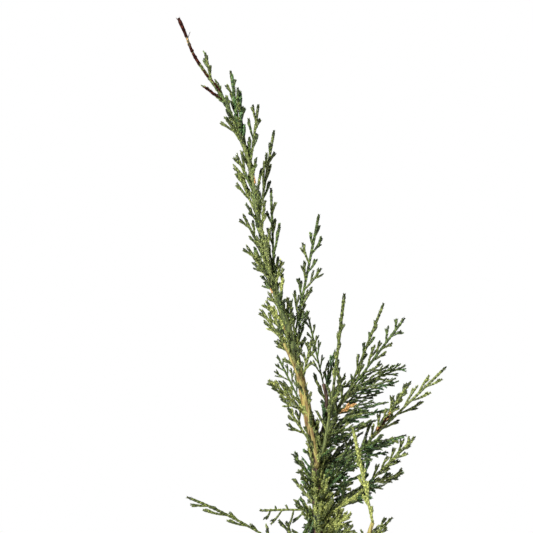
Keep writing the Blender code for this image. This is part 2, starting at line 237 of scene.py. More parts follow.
def new_group(name: str, inputs: dict[str, object], outputs: dict[str, str]) -> bpy.types.NodeTree:
    """Starts a shader node group with named sockets.

    Args:
        name: the group's name.
        inputs: the default of each input by name, a number or a colour.
        outputs: the socket type of each output by name.

    Returns:
        The group, with its input and output nodes made.
    """
    group = bpy.data.node_groups.new(name, "ShaderNodeTree")
    for label, default in inputs.items():
        kind = "NodeSocketFloat" if isinstance(default, (int, float)) else "NodeSocketColor"
        socket = group.interface.new_socket(name=label, in_out="INPUT", socket_type=kind)
        socket.default_value = default
    for label, kind in outputs.items():
        group.interface.new_socket(name=label, in_out="OUTPUT", socket_type=kind)
    add_node(group, "NodeGroupInput", name="in")
    add_node(group, "NodeGroupOutput", name="out")
    return group


class Effects:
    """The surface effects that several materials share, each built once as a node group."""

    OUTPUTS = {
        "Color": "NodeSocketColor",
        "Roughness": "NodeSocketFloat",
        "Height": "NodeSocketFloat",
    }
    CLOUDS = (0.34, 0.64)  # range of the noise over which dark foliage turns pale
    MEAN_NOISE = 0.5
    FISSURES = (0.40, 0.55)  # range of the noise over which a fissure rises to the bark's body
    RIDGES = (0.5, 0.72)  # range of the noise over which the body rises to a ridge
    BARK_GLOSS = (0.95, 0.65)  # roughness in a fissure and on a ridge

    def __init__(self) -> None:
        """Builds the groups."""
        self.mottle = self._mottle()
        self.fibres = self._fibres()

    def _mottle(self) -> bpy.types.NodeTree:
        """Cloudy changes of colour and gloss over foliage.

        Returns:
            The node group.
        """
        inputs = {
            "Scale": 300.0,
            "Pale": (0.3, 0.4, 0.1, 1),
            "Dark": (0.1, 0.2, 0.05, 1),
            "Roughness": 0.55,
            "Spread": 0.2,
        }
        group = new_group("leaf_mottle", inputs, self.OUTPUTS)
        source, sink = group.nodes["in"], group.nodes["out"]
        place = add_node(group, "ShaderNodeTexCoord")
        clouds = add_noise(group, detail=2.0)
        curve = add_range(group, self.CLOUDS)
        mix = add_node(group, "ShaderNodeMix", data_type="RGBA")
        centred = add_node(group, "ShaderNodeMath", operation="SUBTRACT")
        centred.inputs[1].default_value = self.MEAN_NOISE
        spread = add_node(group, "ShaderNodeMath", operation="MULTIPLY")
        gloss = add_node(group, "ShaderNodeMath", operation="ADD")
        link = group.links.new
        link(place.outputs["Object"], clouds.inputs["Vector"])
        link(source.outputs["Scale"], clouds.inputs["Scale"])
        link(clouds.outputs["Fac"], curve.inputs["Value"])
        link(curve.outputs["Result"], mix.inputs["Factor"])
        link(source.outputs["Dark"], mix.inputs["A"])
        link(source.outputs["Pale"], mix.inputs["B"])
        link(clouds.outputs["Fac"], centred.inputs[0])
        link(centred.outputs[0], spread.inputs[0])
        link(source.outputs["Spread"], spread.inputs[1])
        link(spread.outputs[0], gloss.inputs[0])
        link(source.outputs["Roughness"], gloss.inputs[1])
        link(mix.outputs["Result"], sink.inputs["Color"])
        link(gloss.outputs[0], sink.inputs["Roughness"])
        link(clouds.outputs["Fac"], sink.inputs["Height"])
        return group

    def _fibres(self) -> bpy.types.NodeTree:
        """Upright fibres, flakes and fissures of bark.

        Returns:
            The node group.
        """
        inputs = {
            "Fineness": 900.0,
            "Stretch": 0.12,
            "Ridge": (0.4, 0.26, 0.16, 1),
            "Body": (0.2, 0.11, 0.06, 1),
            "Fissure": (0.05, 0.03, 0.02, 1),
            "Patches": 90.0,
        }
        group = new_group("bark_fibres", inputs, self.OUTPUTS)
        source, sink = group.nodes["in"], group.nodes["out"]
        place = add_node(group, "ShaderNodeTexCoord")
        squeeze = add_node(group, "ShaderNodeVectorMath", operation="MULTIPLY")
        ratio = add_node(group, "ShaderNodeCombineXYZ")
        ratio.inputs["X"].default_value = 1.0
        ratio.inputs["Y"].default_value = 1.0
        fibre = add_noise(group, detail=5.0, roughness=0.6)
        patch = add_noise(group, detail=2.0)
        low = add_range(group, self.FISSURES)
        high = add_range(group, self.RIDGES)
        rough = add_range(group, WHOLE, self.BARK_GLOSS)
        deep = add_node(group, "ShaderNodeMix", data_type="RGBA")
        pale = add_node(group, "ShaderNodeMix", data_type="RGBA")
        share = add_node(group, "ShaderNodeMath", operation="MULTIPLY")
        link = group.links.new
        link(source.outputs["Stretch"], ratio.inputs["Z"])
        link(place.outputs["Object"], squeeze.inputs[0])
        link(ratio.outputs[0], squeeze.inputs[1])
        link(squeeze.outputs[0], fibre.inputs["Vector"])
        link(source.outputs["Fineness"], fibre.inputs["Scale"])
        link(place.outputs["Object"], patch.inputs["Vector"])
        link(source.outputs["Patches"], patch.inputs["Scale"])
        link(fibre.outputs["Fac"], low.inputs["Value"])
        link(fibre.outputs["Fac"], high.inputs["Value"])
        link(low.outputs["Result"], deep.inputs["Factor"])
        link(source.outputs["Fissure"], deep.inputs["A"])
        link(source.outputs["Body"], deep.inputs["B"])
        link(high.outputs["Result"], share.inputs[0])
        link(patch.outputs["Fac"], share.inputs[1])
        link(share.outputs[0], pale.inputs["Factor"])
        link(deep.outputs["Result"], pale.inputs["A"])
        link(source.outputs["Ridge"], pale.inputs["B"])
        link(fibre.outputs["Fac"], rough.inputs["Value"])
        link(pale.outputs["Result"], sink.inputs["Color"])
        link(rough.outputs["Result"], sink.inputs["Roughness"])
        link(fibre.outputs["Fac"], sink.inputs["Height"])
        return group


def start_material(name: str) -> tuple[bpy.types.Material, bpy.types.Node]:
    """Makes a material with nodes.

    Args:
        name: the material's name.

    Returns:
        The material and its Principled shader.
    """
    material = bpy.data.materials.new(name)
    material.use_nodes = True
    return material, material.node_tree.nodes["Principled BSDF"]


def outputs_of(node: bpy.types.Node) -> dict[str, bpy.types.NodeSocket]:
    """Finds a node's outputs by their names.

    Args:
        node: the node.

    Returns:
        Its output sockets.
    """
    return {socket.name: socket for socket in node.outputs}


def feed_shader(
    tree: bpy.types.NodeTree,
    shader: bpy.types.Node,
    sources: dict[str, bpy.types.NodeSocket],
    relief: float,
    specular: float,
) -> None:
    """Feeds a finish into a shader.

    Args:
        tree: the material's node tree.
        shader: the Principled shader.
        sources: the sockets that give Color, Roughness and Height.
        relief: the height of the relief in metres.
        specular: the shader's specular level.
    """
    node = add_node(tree, "ShaderNodeBump")
    node.inputs["Strength"].default_value = BUMP_STRENGTH
    node.inputs["Distance"].default_value = relief
    tree.links.new(sources["Color"], shader.inputs["Base Color"])
    tree.links.new(sources["Roughness"], shader.inputs["Roughness"])
    tree.links.new(sources["Height"], node.inputs["Height"])
    tree.links.new(node.outputs["Normal"], shader.inputs["Normal"])
    shader.inputs["Specular IOR Level"].default_value = specular


@dataclass(frozen=True)
class FoliageFinish:
    """Scale foliage of one tone."""

    tone: Tone
    pale: Colour
    dark: Colour
    roughness: float = 0.36
    specular: float = 0.3
    scale: float = 520.0  # clouds of colour a metre
    relief: float = 0.05 * MM

    def material(self, effects: Effects, name: str, shade: float = 1.0) -> bpy.types.Material:
        """Builds the finish.

        Args:
            effects: the shared node groups.
            name: the material's name.
            shade: what the colours are multiplied by; below 1 this paints shade into them.

        Returns:
            The material.
        """
        material, shader = start_material(name)
        tree = material.node_tree
        mottle = add_node(tree, "ShaderNodeGroup", node_tree=effects.mottle)
        mottle.inputs["Pale"].default_value = (*(c * shade for c in self.pale), 1)
        mottle.inputs["Dark"].default_value = (*(c * shade for c in self.dark), 1)
        mottle.inputs["Roughness"].default_value = self.roughness
        mottle.inputs["Scale"].default_value = self.scale
        feed_shader(tree, shader, outputs_of(mottle), self.relief, self.specular)
        return material


@dataclass(frozen=True)
class BarkFinish:
    """Fibrous bark of one age."""

    name: str
    ridge: Colour
    body: Colour
    fissure: Colour
    specular: float = 0.3
    fineness: float = 900.0  # fibres a metre
    relief: float = 0.25 * MM

    def place_in(self, tree: bpy.types.NodeTree, effects: Effects) -> bpy.types.Node:
        """Adds the bark's colours to a material.

        Args:
            tree: the material's node tree.
            effects: the shared node groups.

        Returns:
            The group node that gives colour, roughness and height.
        """
        fibres = add_node(tree, "ShaderNodeGroup", node_tree=effects.fibres)
        fibres.inputs["Ridge"].default_value = (*self.ridge, 1)
        fibres.inputs["Body"].default_value = (*self.body, 1)
        fibres.inputs["Fissure"].default_value = (*self.fissure, 1)
        fibres.inputs["Fineness"].default_value = self.fineness
        return fibres

    def material(self, effects: Effects) -> bpy.types.Material:
        """Builds the finish for a limb that is the same all along.

        Args:
            effects: the shared node groups.

        Returns:
            The material.
        """
        material, shader = start_material(self.name)
        tree = material.node_tree
        fibres = self.place_in(tree, effects)
        feed_shader(tree, shader, outputs_of(fibres), self.relief, self.specular)
        return material


@dataclass(frozen=True)
class TrunkFinish:
    """Bark that changes with height: old at the foot, green on the leader, dead at the tip."""

    old: BarkFinish
    young: BarkFinish
    green: BarkFinish
    dead: BarkFinish
    young_from: float = 0.235  # metres above the ground
    green_from: float = 0.275
    dead_from: float = 0.503
    blend: float = 0.03  # height over which one bark turns into the next

    def material(self, effects: Effects) -> bpy.types.Material:
        """Builds the finish.

        Args:
            effects: the shared node groups.

        Returns:
            The material.
        """
        material, shader = start_material("trunk_bark")
        tree = material.node_tree
        place = add_node(tree, "ShaderNodeTexCoord")
        parts = add_node(tree, "ShaderNodeSeparateXYZ")
        tree.links.new(place.outputs["Object"], parts.inputs[0])
        sources = outputs_of(self.old.place_in(tree, effects))
        stages = (
            (self.young, self.young_from),
            (self.green, self.green_from),
            (self.dead, self.dead_from),
        )
        for finish, start in stages:
            above = finish.place_in(tree, effects)
            fade = add_range(tree, (start, start + self.blend))
            fade.interpolation_type = "SMOOTHSTEP"
            mix = add_node(tree, "ShaderNodeMix", data_type="RGBA")
            tree.links.new(parts.outputs["Z"], fade.inputs["Value"])
            tree.links.new(fade.outputs["Result"], mix.inputs["Factor"])
            tree.links.new(sources["Color"], mix.inputs["A"])
            tree.links.new(above.outputs["Color"], mix.inputs["B"])
            sources["Color"] = mix.outputs["Result"]
        feed_shader(tree, shader, sources, self.old.relief, self.old.specular)
        return material


FOLIAGE_FINISHES = (
    FoliageFinish(Tone.LIME, (0.50, 0.54, 0.155), (0.26, 0.295, 0.072)),
    FoliageFinish(Tone.FRESH, (0.305, 0.35, 0.098), (0.10, 0.128, 0.032)),
    FoliageFinish(Tone.MID, (0.19, 0.235, 0.056), (0.028, 0.040, 0.009)),
    FoliageFinish(Tone.DEEP, (0.155, 0.225, 0.056), (0.011, 0.020, 0.006)),
    FoliageFinish(Tone.SHADE, (0.13, 0.25, 0.080), (0.006, 0.017, 0.006)),
    FoliageFinish(Tone.STRAW, (0.52, 0.46, 0.13), (0.30, 0.24, 0.06), 0.6),
    FoliageFinish(Tone.BRONZE, (0.075, 0.018, 0.011), (0.010, 0.003, 0.002), 0.5, specular=0.06),
    FoliageFinish(Tone.WITHERED, (0.72, 0.42, 0.15), (0.46, 0.22, 0.07), 0.7),
    FoliageFinish(Tone.BUD, (0.055, 0.075, 0.028), (0.006, 0.010, 0.004), specular=0.15),
)

OLD_BARK = BarkFinish(
    "old_bark", ridge=(0.27, 0.17, 0.11), body=(0.055, 0.029, 0.021), fissure=(0.008, 0.005, 0.004)
)
YOUNG_BARK = BarkFinish(
    "young_bark", ridge=(0.54, 0.47, 0.14), body=(0.33, 0.26, 0.07), fissure=(0.13, 0.052, 0.024)
)
GREEN_SHOOT = BarkFinish(
    "green_shoot", ridge=(0.24, 0.25, 0.09), body=(0.11, 0.135, 0.04), fissure=(0.035, 0.045, 0.017)
)
STRAW_SHOOT = BarkFinish(
    "straw_shoot", ridge=(0.46, 0.42, 0.14), body=(0.29, 0.25, 0.075), fissure=(0.13, 0.08, 0.03)
)
DEAD_WOOD = BarkFinish(
    "dead_wood",
    ridge=(0.16, 0.09, 0.065),
    body=(0.075, 0.042, 0.032),
    fissure=(0.025, 0.015, 0.012),
)
TRUNK_FINISH = TrunkFinish(OLD_BARK, YOUNG_BARK, GREEN_SHOOT, DEAD_WOOD)


# ---------------------------------------------------------------- meshes
def solid_piece(name: str, points: np.ndarray, triangles: np.ndarray) -> bpy.types.Object:
    """Makes a mesh object from arrays.

    Args:
        name: the piece's name.
        points: the vertices, one row each.
        triangles: the vertex numbers of each triangle, one row each.

    Returns:
        The new object, in the scene.
    """
    mesh = bpy.data.meshes.new(name)
    mesh.vertices.add(len(points))
    mesh.vertices.foreach_set("co", points.astype(np.float32).ravel())
    mesh.loops.add(len(triangles) * 3)
    mesh.loops.foreach_set("vertex_index", triangles.astype(np.int32).ravel())
    mesh.polygons.add(len(triangles))
    mesh.polygons.foreach_set("loop_start", np.arange(0, len(triangles) * 3, 3, dtype=np.int32))
    mesh.update(calc_edges=True)
    mesh.validate()
    item = bpy.data.objects.new(name, mesh)
    bpy.context.scene.collection.objects.link(item)
    return item


def tube(points: np.ndarray, across: np.ndarray, over: np.ndarray, radii: np.ndarray) -> Mesh:
    """Skins a line with rings and closes both ends.

    Args:
        points: the middle of each ring.
        across: a unit vector across the line at each ring.
        over: the unit vector across both.
        radii: one row a ring, one radius a side.

    Returns:
        The vertices and the triangles of a closed tube.
    """
    rings, sides = radii.shape
    angles = np.linspace(0, 2 * math.pi, sides, endpoint=False)
    spokes = np.cos(angles)[None, :, None] * across[:, None]
    spokes = spokes + np.sin(angles)[None, :, None] * over[:, None]
    skin = (points[:, None] + spokes * radii[:, :, None]).reshape(-1, 3)
    k, j = np.meshgrid(np.arange(rings - 1), np.arange(sides), indexing="ij")
    a, b = k * sides + j, k * sides + (j + 1) % sides
    c, d = a + sides, b + sides
    walls = np.concatenate([np.stack(wall, -1).reshape(-1, 3) for wall in ([a, b, d], [a, d, c])])
    j = np.arange(sides)
    foot, head = len(skin), len(skin) + 1
    bottom = np.stack([(j + 1) % sides, j, np.full(sides, foot)], -1)
    first = (rings - 1) * sides
    top = np.stack([first + j, first + (j + 1) % sides, np.full(sides, head)], -1)
    return np.concatenate([skin, points[:1], points[-1:]]), np.concatenate([walls, bottom, top])


def across_line(points: np.ndarray, guide: np.ndarray) -> tuple[np.ndarray, np.ndarray, np.ndarray]:
    """Finds directions along and across a line.

    Args:
        points: the points of the line.
        guide: a vector that the second direction across stays close to.

    Returns:
        Unit vectors along the line, across it, and across both, one row a point.
    """
    along = np.gradient(points, axis=0)
    along /= np.linalg.norm(along, axis=1)[:, None]
    across = np.cross(along, guide)
    across /= np.maximum(np.linalg.norm(across, axis=1)[:, None], TINY)
    return along, across, np.cross(across, along)


class Pile:
    """Triangles of one kind and tone that end up joined in a few pieces."""

    def __init__(self, name: str) -> None:
        """Starts an empty pile.

        Args:
            name: what its pieces are called.
        """
        self.name = name
        self.points: list[np.ndarray] = []
        self.triangles: list[np.ndarray] = []
        self.count = 0

    def add(self, points: np.ndarray, triangles: np.ndarray) -> None:
        """Adds closed shapes to the pile.

        Args:
            points: their vertices.
            triangles: their triangles.
        """
        self.points.append(points)
        self.triangles.append(triangles + self.count)
        self.count += len(points)

    def build(self) -> list[bpy.types.Object]:
        """Joins the pile.

        Returns:
            The joined pieces, each under the most triangles that a piece may have.
        """
        made: list[bpy.types.Object] = []
        batch: list[int] = []
        size = 0
        for k, block in enumerate(self.triangles):
            if batch and size + len(block) > MOST_TRIANGLES:
                made.append(self._join(batch, len(made)))
                batch, size = [], 0
            batch.append(k)
            size += len(block)
        if batch:
            made.append(self._join(batch, len(made)))
        return made

    def _join(self, batch: list[int], number: int) -> bpy.types.Object:
        """Joins some blocks of the pile.

        Args:
            batch: which blocks.
            number: the number in the piece's name.

        Returns:
            The piece.
        """
        points = np.concatenate([self.points[k] for k in batch])
        triangles = np.concatenate([self.triangles[k] for k in batch])
        first = self.triangles[batch[0]].min()
        return solid_piece(f"{self.name}_{number}", points, triangles - first)


@dataclass(frozen=True)
class ScaleLeaf:
    """One scale leaf, pressed to its cord and open at the tip.

    Lengths along the cord are shares of the pitch, and the rest are shares of the cord's radius.
    """

    base: float = -0.3
    base_out: float = 0.42
    base_half: float = 0.66
    shoulder: float = 0.5
    shoulder_out: float = 0.7
    shoulder_half: float = 0.62
    keel: float = 0.42
    keel_out: float = 0.98
    tip: float = 1.14
    tip_out: float = 0.82

    def points(self) -> np.ndarray:
        """Finds the corners of the leaf.

        Returns:
            Six corners: two at the base, two shoulders, the keel and the tip.
        """
        return np.array(
            [
                (self.base, self.base_out, -self.base_half),
                (self.base, self.base_out, self.base_half),
                (self.shoulder, self.shoulder_out, -self.shoulder_half),
                (self.shoulder, self.shoulder_out, self.shoulder_half),
                (self.keel, self.keel_out, 0.0),
                (self.tip, self.tip_out, 0.0),
            ]
        )

    @staticmethod
    def triangles() -> np.ndarray:
        """Lists the faces of the leaf by its corners.

        Returns:
            Five faces that show and three against the cord.
        """
        shown = [(0, 1, 4), (0, 4, 2), (1, 3, 4), (2, 4, 5), (4, 3, 5)]
        hidden = [(0, 2, 1), (1, 2, 3), (2, 5, 3)]
        return np.array(shown + hidden)


@dataclass
class Cord:
    """One twig clothed in scale leaves in crossed pairs or whorls.

    The pitch is the distance along the twig from one pair of leaves to the next.
    """

    line: list[Vector]
    guide: Vector
    radius: float
    tip_radius: float
    tone: Tone
    pitch: float = 1.2 * MM
    ranks: int = 2  # leaves side by side round the twig
    tip_tone: Tone | None = None  # where the bud end is of another colour

    CORE_SHARE = 0.78  # radius of the woody core, as a share of the cord's
    CORE_TIP = 0.5  # how much of that is left at the tip
    CORE_SIDES = 6
    LEAF = ScaleLeaf()
    LEAST_PAIRS = 2
    LAST_PAIR = 0.6  # pitches from the last pair of leaves to the tip
    CLOSING = (1.0, 0.95, 0.75)  # the last leaves close over the bud
    TIP_LEAVES = 3  # pairs of leaves in the bud end
    UNEVEN = (0.88, 1.12)  # how much smaller or larger a leaf may be

    def build(self, leaves: Pile, tips: Pile, core: Pile, rng: np.random.Generator) -> None:
        """Adds the cord's leaves and its woody core to their piles.

        Args:
            leaves: the pile of its tone.
            tips: the pile of its bud end's tone.
            core: the pile of twigs.
            rng: the source of chance.
        """
        points = np.array(self.line)
        walked = np.concatenate([[0], np.cumsum(np.linalg.norm(np.diff(points, axis=0), axis=1))])
        core.add(*self._core(points, walked))
        count = max(self.LEAST_PAIRS, round(walked[-1] / self.pitch))
        marks = np.linspace(0, walked[-1] - self.pitch * self.LAST_PAIR, count)
        middle = np.stack([np.interp(marks, walked, points[:, axis]) for axis in range(3)], -1)
        along, across, over = across_line(middle, np.array(self.guide))
        width = self._radii(marks, walked[-1])
        shut = self.CLOSING[-min(count, len(self.CLOSING)) :]
        width[-len(shut) :] *= shut
        turn = (np.arange(count) % 2)[:, None] * math.pi / self.ranks
        narrow = 2 / self.ranks  # leaves in a whorl are narrower than leaves in a pair
        corners, faces = self.LEAF.points(), self.LEAF.triangles()
        body_leaves = count - min(self.TIP_LEAVES, count - 1)
        for rank in range(self.ranks):
            angle = turn + 2 * math.pi * rank / self.ranks
            outward = across * np.cos(angle) + over * np.sin(angle)
            sideways = np.cross(along, outward)
            wobble = rng.uniform(*self.UNEVEN, (count, 1))
            axes = (
                along * self.pitch * wobble,
                outward * width[:, None] * wobble,
                sideways * width[:, None] * narrow,
            )
            shapes = np.einsum("vk,nkc->nvc", corners, np.stack(axes, 1)) + middle[:, None]
            for pile, part in ((leaves, shapes[:body_leaves]), (tips, shapes[body_leaves:])):
                numbers = faces[None] + (np.arange(len(part)) * len(corners))[:, None, None]
                pile.add(part.reshape(-1, 3), numbers.reshape(-1, 3))

    def _radii(self, walked: np.ndarray, length: float) -> np.ndarray:
        """The cord's radii at distances along it, for its whole length."""
        return np.interp(walked, [0, length], [self.radius, self.tip_radius])

    def _core(self, points: np.ndarray, walked: np.ndarray) -> Mesh:
        """Finds the woody core that the leaves stand on.

        Args:
            points: the points of the cord.
            walked: how far along the cord each of them is.

        Returns:
            The vertices and the triangles of the core.
        """
        _, across, over = across_line(points, np.array(self.guide))
        radii = self._radii(walked, walked[-1]) * self.CORE_SHARE
        radii[-1] *= self.CORE_TIP
        return tube(points, across, over, np.repeat(radii[:, None], self.CORE_SIDES, axis=1))


# ---------------------------------------------------------------- the trunk
@dataclass
class Trunk:
    """The trunk, from the flat cut at the ground to the dead tip of the leader."""

    height: float = 535 * MM
    tip_radius: float = 0.8 * MM
    taper_radius: float = 6.4 * MM
    taper_power: float = 1.4
    flare_radius: float = 3.0 * MM
    flare_height: float = 7.0 * MM
    ring_step: float = 0.9 * MM
    sides: int = 36
    relief: float = 0.075  # depth of the bark's fissures, as a share of the radius
    fibres: Range = (900.0, 90.0)  # fibres a metre, round the trunk and up it
    fibre_share: float = 0.8  # how deep the fibres are beside the flakes
    flakes: Range = (320.0, 45.0)  # flakes a metre, round the trunk and up it
    flake_shift: float = 5.0  # keeps the flakes from following the fibres
    root_ribs: int = 5
    rib_depth: float = 0.09
    rib_fade: float = 3.0  # the ribs fade over this many heights of the flare
    # millimetres up, to the right and to the back
    lean: tuple[Place, ...] = (
        (0, 0, 0),
        (20, 0, 0),
        (120, 1, 1),
        (175, -1, 0),
        (216, -2, 0),
        (239, -5, 0),
        (278, -12.5, 1),
        (310, -20, 1),
        (334, -28, 0),
        (357, -35, 0),
        (396, -43.5, 1),
        (435, -50, 1),
        (465, -61, 0),
        (481, -69, 0),
        (508, -87.5, -1),
        (526, -95, 0),
        (535, -99, 0),
    )

    def radius(self, height: float) -> float:
        """Finds the radius at a height.

        Args:
            height: metres above the ground.

        Returns:
            The radius, with the flare of the foot.
        """
        left = max(0.0, 1 - height / self.height)
        flare = self.flare_radius * math.exp(-height / self.flare_height)
        return self.tip_radius + self.taper_radius * left**self.taper_power + flare

    def middle(self, height: float) -> Vector:
        """Finds the middle at a height, on a smooth line through the leaning places.

        Args:
            height: metres above the ground.

        Returns:
            The point.
        """
        places = [Vector((x * MM, y * MM, z * MM)) for z, x, y in self.lean]
        last = len(places) - 2
        i = next((k for k in range(last) if height < places[k + 1].z), last)
        before, after = places[max(i - 1, 0)], places[min(i + 2, last + 1)]
        a, b = places[i], places[i + 1]
        span = b.z - a.z
        t = (height - a.z) / span
        rise_a = (b - before) / (b.z - before.z) * span
        rise_b = (after - a) / (after.z - a.z) * span
        # the weights of a cubic through a and b with these rises
        point = (
            a * (2 * t**3 - 3 * t**2 + 1)
            + rise_a * (t**3 - 2 * t**2 + t)
            + b * (3 * t**2 - 2 * t**3)
            + rise_b * (t**3 - t**2)
        )
        point.z = height
        return point

    def line(self) -> Line:
        """The middle line with its radii."""
        heights = np.linspace(0, self.height, round(self.height / self.ring_step) + 1)
        return Line([self.middle(z) for z in heights], [self.radius(z) for z in heights])

    def build(self, effects: Effects) -> bpy.types.Object:
        """Builds the trunk with the relief of its bark.

        Args:
            effects: the shared node groups.

        Returns:
            The piece.
        """
        line = self.line()
        points = np.array(line.points)
        _, across, over = across_line(points, np.array(BACK))
        radii = np.zeros((len(points), self.sides))
        for k, (point, radius) in enumerate(zip(line.points, line.radii)):
            for j in range(self.sides):
                radii[k, j] = radius * self.shape(point.z, radius, 2 * math.pi * j / self.sides)
        points[0, 2] = 0  # the cut at the foot is flat and level
        across[0], over[0] = (1, 0, 0), BACK
        piece = solid_piece("trunk_bark", *tube(points, across, over, radii))
        self.dress(piece, effects)
        return piece

    @staticmethod
    def dress(piece: bpy.types.Object, effects: Effects) -> None:
        """Gives the trunk its bark, and lets it stand for the plain trunk.

        Args:
            piece: the trunk.
            effects: the shared node groups.
        """
        piece.data.shade_smooth()
        piece.data.materials.append(TRUNK_FINISH.material(effects))
        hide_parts("trunk")

    def shape(self, height: float, radius: float, angle: float) -> float:
        """Finds how far the bark stands out or in at a place.

        Args:
            height: metres above the ground.
            radius: the trunk's radius there.
            angle: radians round the trunk.

        Returns:
            What the radius is multiplied by.
        """
        x, y = math.cos(angle) * radius, math.sin(angle) * radius
        wide, tall = self.fibres
        fibre = noise.noise(Vector((x * wide, y * wide, height * tall)))
        wide, tall = self.flakes
        flake = noise.noise(Vector((x * wide, y * wide, height * tall + self.flake_shift)))
        fade = math.exp(-height / (self.rib_fade * self.flare_height))
        ribs = self.rib_depth * fade * math.cos(self.root_ribs * angle)
        return 1 + self.relief * (fibre * self.fibre_share + flake) + ribs


# ---------------------------------------------------------------- the boughs
@dataclass
class Bough:
    """A tapering limb that leaves the trunk and ends where its foliage starts."""

    name: str
    height: float  # millimetres up the trunk
    runs: tuple[tuple[float, float, float], ...]  # heading, rise and millimetres of each
    radii: Range  # millimetres at the root and the tip
    finish: BarkFinish

    STEPS = 40
    SIDES = 14
    GUIDE = (0.1, 1, 0)  # off the back, so that no run points straight along it
    COLLAR = 0.7  # how much wider the limb is where it leaves the trunk
    COLLAR_LENGTH = 3.0 * MM
    SUNK = 0.6  # share of the trunk's radius that the root goes into it
    LUMPS = (1.4, 160.0)  # size of the noise round the limb, and lumps a metre up it
    LUMP_DEPTH = 0.12  # as a share of the radius

    def line(self, trunk: Line) -> Line:
        """Finds the limb's middle line, from inside the trunk to its tip.

        Args:
            trunk: the trunk's middle line.

        Returns:
            The line with its radii.
        """
        root, tip = (r * MM for r in self.radii)
        middle, along, radius = trunk.at_height(self.height * MM)
        first = direction(*self.runs[0][:2])
        outward = (first - along * first.dot(along)).normalized()
        start = middle + outward * (radius + root * abs(first.dot(along)))
        corners = [start]
        for heading, rise, length in self.runs:
            corners.append(corners[-1] + direction(heading, rise) * length * MM)
        points = rounded(corners, self.STEPS)
        points[0] = points[0] - outward * radius * self.SUNK
        radii = []
        walked = 0.0
        for k in range(len(points)):
            walked += (points[k] - points[k - 1]).length if k else 0.0
            collar = 1 + self.COLLAR * math.exp(-walked / self.COLLAR_LENGTH)
            radii.append((root + (tip - root) * k / self.STEPS) * collar)
        return Line(points, radii)

    def build(self, line: Line, effects: Effects) -> bpy.types.Object:
        """Builds the limb with a little relief.

        Args:
            line: its middle line.
            effects: the shared node groups.

        Returns:
            The piece.
        """
        points = np.array(line.points)
        _, across, over = across_line(points, np.array(self.GUIDE))
        radii = np.array(line.radii)[:, None] * np.ones((1, self.SIDES))
        wide, tall = self.LUMPS
        for k, point in enumerate(line.points):
            for j in range(self.SIDES):
                angle = 2 * math.pi * j / self.SIDES
                spot = Vector((math.cos(angle) * wide, math.sin(angle) * wide, point.z * tall))
                radii[k, j] *= 1 + self.LUMP_DEPTH * noise.noise(spot)
        piece = solid_piece(self.name + "_bark", *tube(points, across, over, radii))
        self.dress(piece, effects)
        return piece

    def dress(self, piece: bpy.types.Object, effects: Effects) -> None:
        """Gives the limb its bark, and lets it stand for the plain limb.

        Args:
            piece: the limb.
            effects: the shared node groups.
        """
        piece.data.shade_smooth()
        piece.data.materials.append(self.finish.material(effects))
        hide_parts(self.name)


# ---------------------------------------------------------------- the foliage
class Habit(Enum):
    """How a spray fills its space."""

    FLAT = "flat"
    BUSHY = "bushy"
    FINE = "fine"
    UPRIGHT = "upright"
    DROOPING = "drooping"
    WHIP = "whip"


@dataclass(frozen=True)
class Growth:
    """What a habit does to a spray."""

    planes: int = 1  # rows of laterals, each square to the one before
    step: float = 1.0  # distance between laterals, as a share of the usual
    slim: float = 1.0  # thickness of the cords, as a share of the usual
    lean: float = 1.0  # how far laterals lean away from the stem, as a share of the usual
    reach: float = 1.0  # length of the laterals, as a share of the usual
    forks: float = 1.0  # number of side cords, as a share of the usual
    splay: float = 1.0  # how far side cords lean away from their lateral, as a share of the usual
    free: float = 0.16  # share of the stem, at its tip, that has no laterals


GROWTHS = {
    Habit.FLAT: Growth(),
    Habit.BUSHY: Growth(planes=2, step=0.8),
    Habit.FINE: Growth(step=0.8, slim=0.72),
    Habit.UPRIGHT: Growth(step=1.35, lean=0.82, reach=1.35, forks=0.6, splay=0.72, free=0.24),
    Habit.DROOPING: Growth(step=0.9, slim=0.9, lean=2.2, reach=1.7, forks=0.4),
    Habit.WHIP: Growth(step=1.5, slim=1.2, lean=0.75, reach=1.1, forks=0.4, splay=0.7, free=0.3),
}

BUD_TONES = {
    Tone.LIME: Tone.MID,
    Tone.FRESH: Tone.BUD,
    Tone.MID: Tone.BUD,
    Tone.DEEP: Tone.BUD,
}


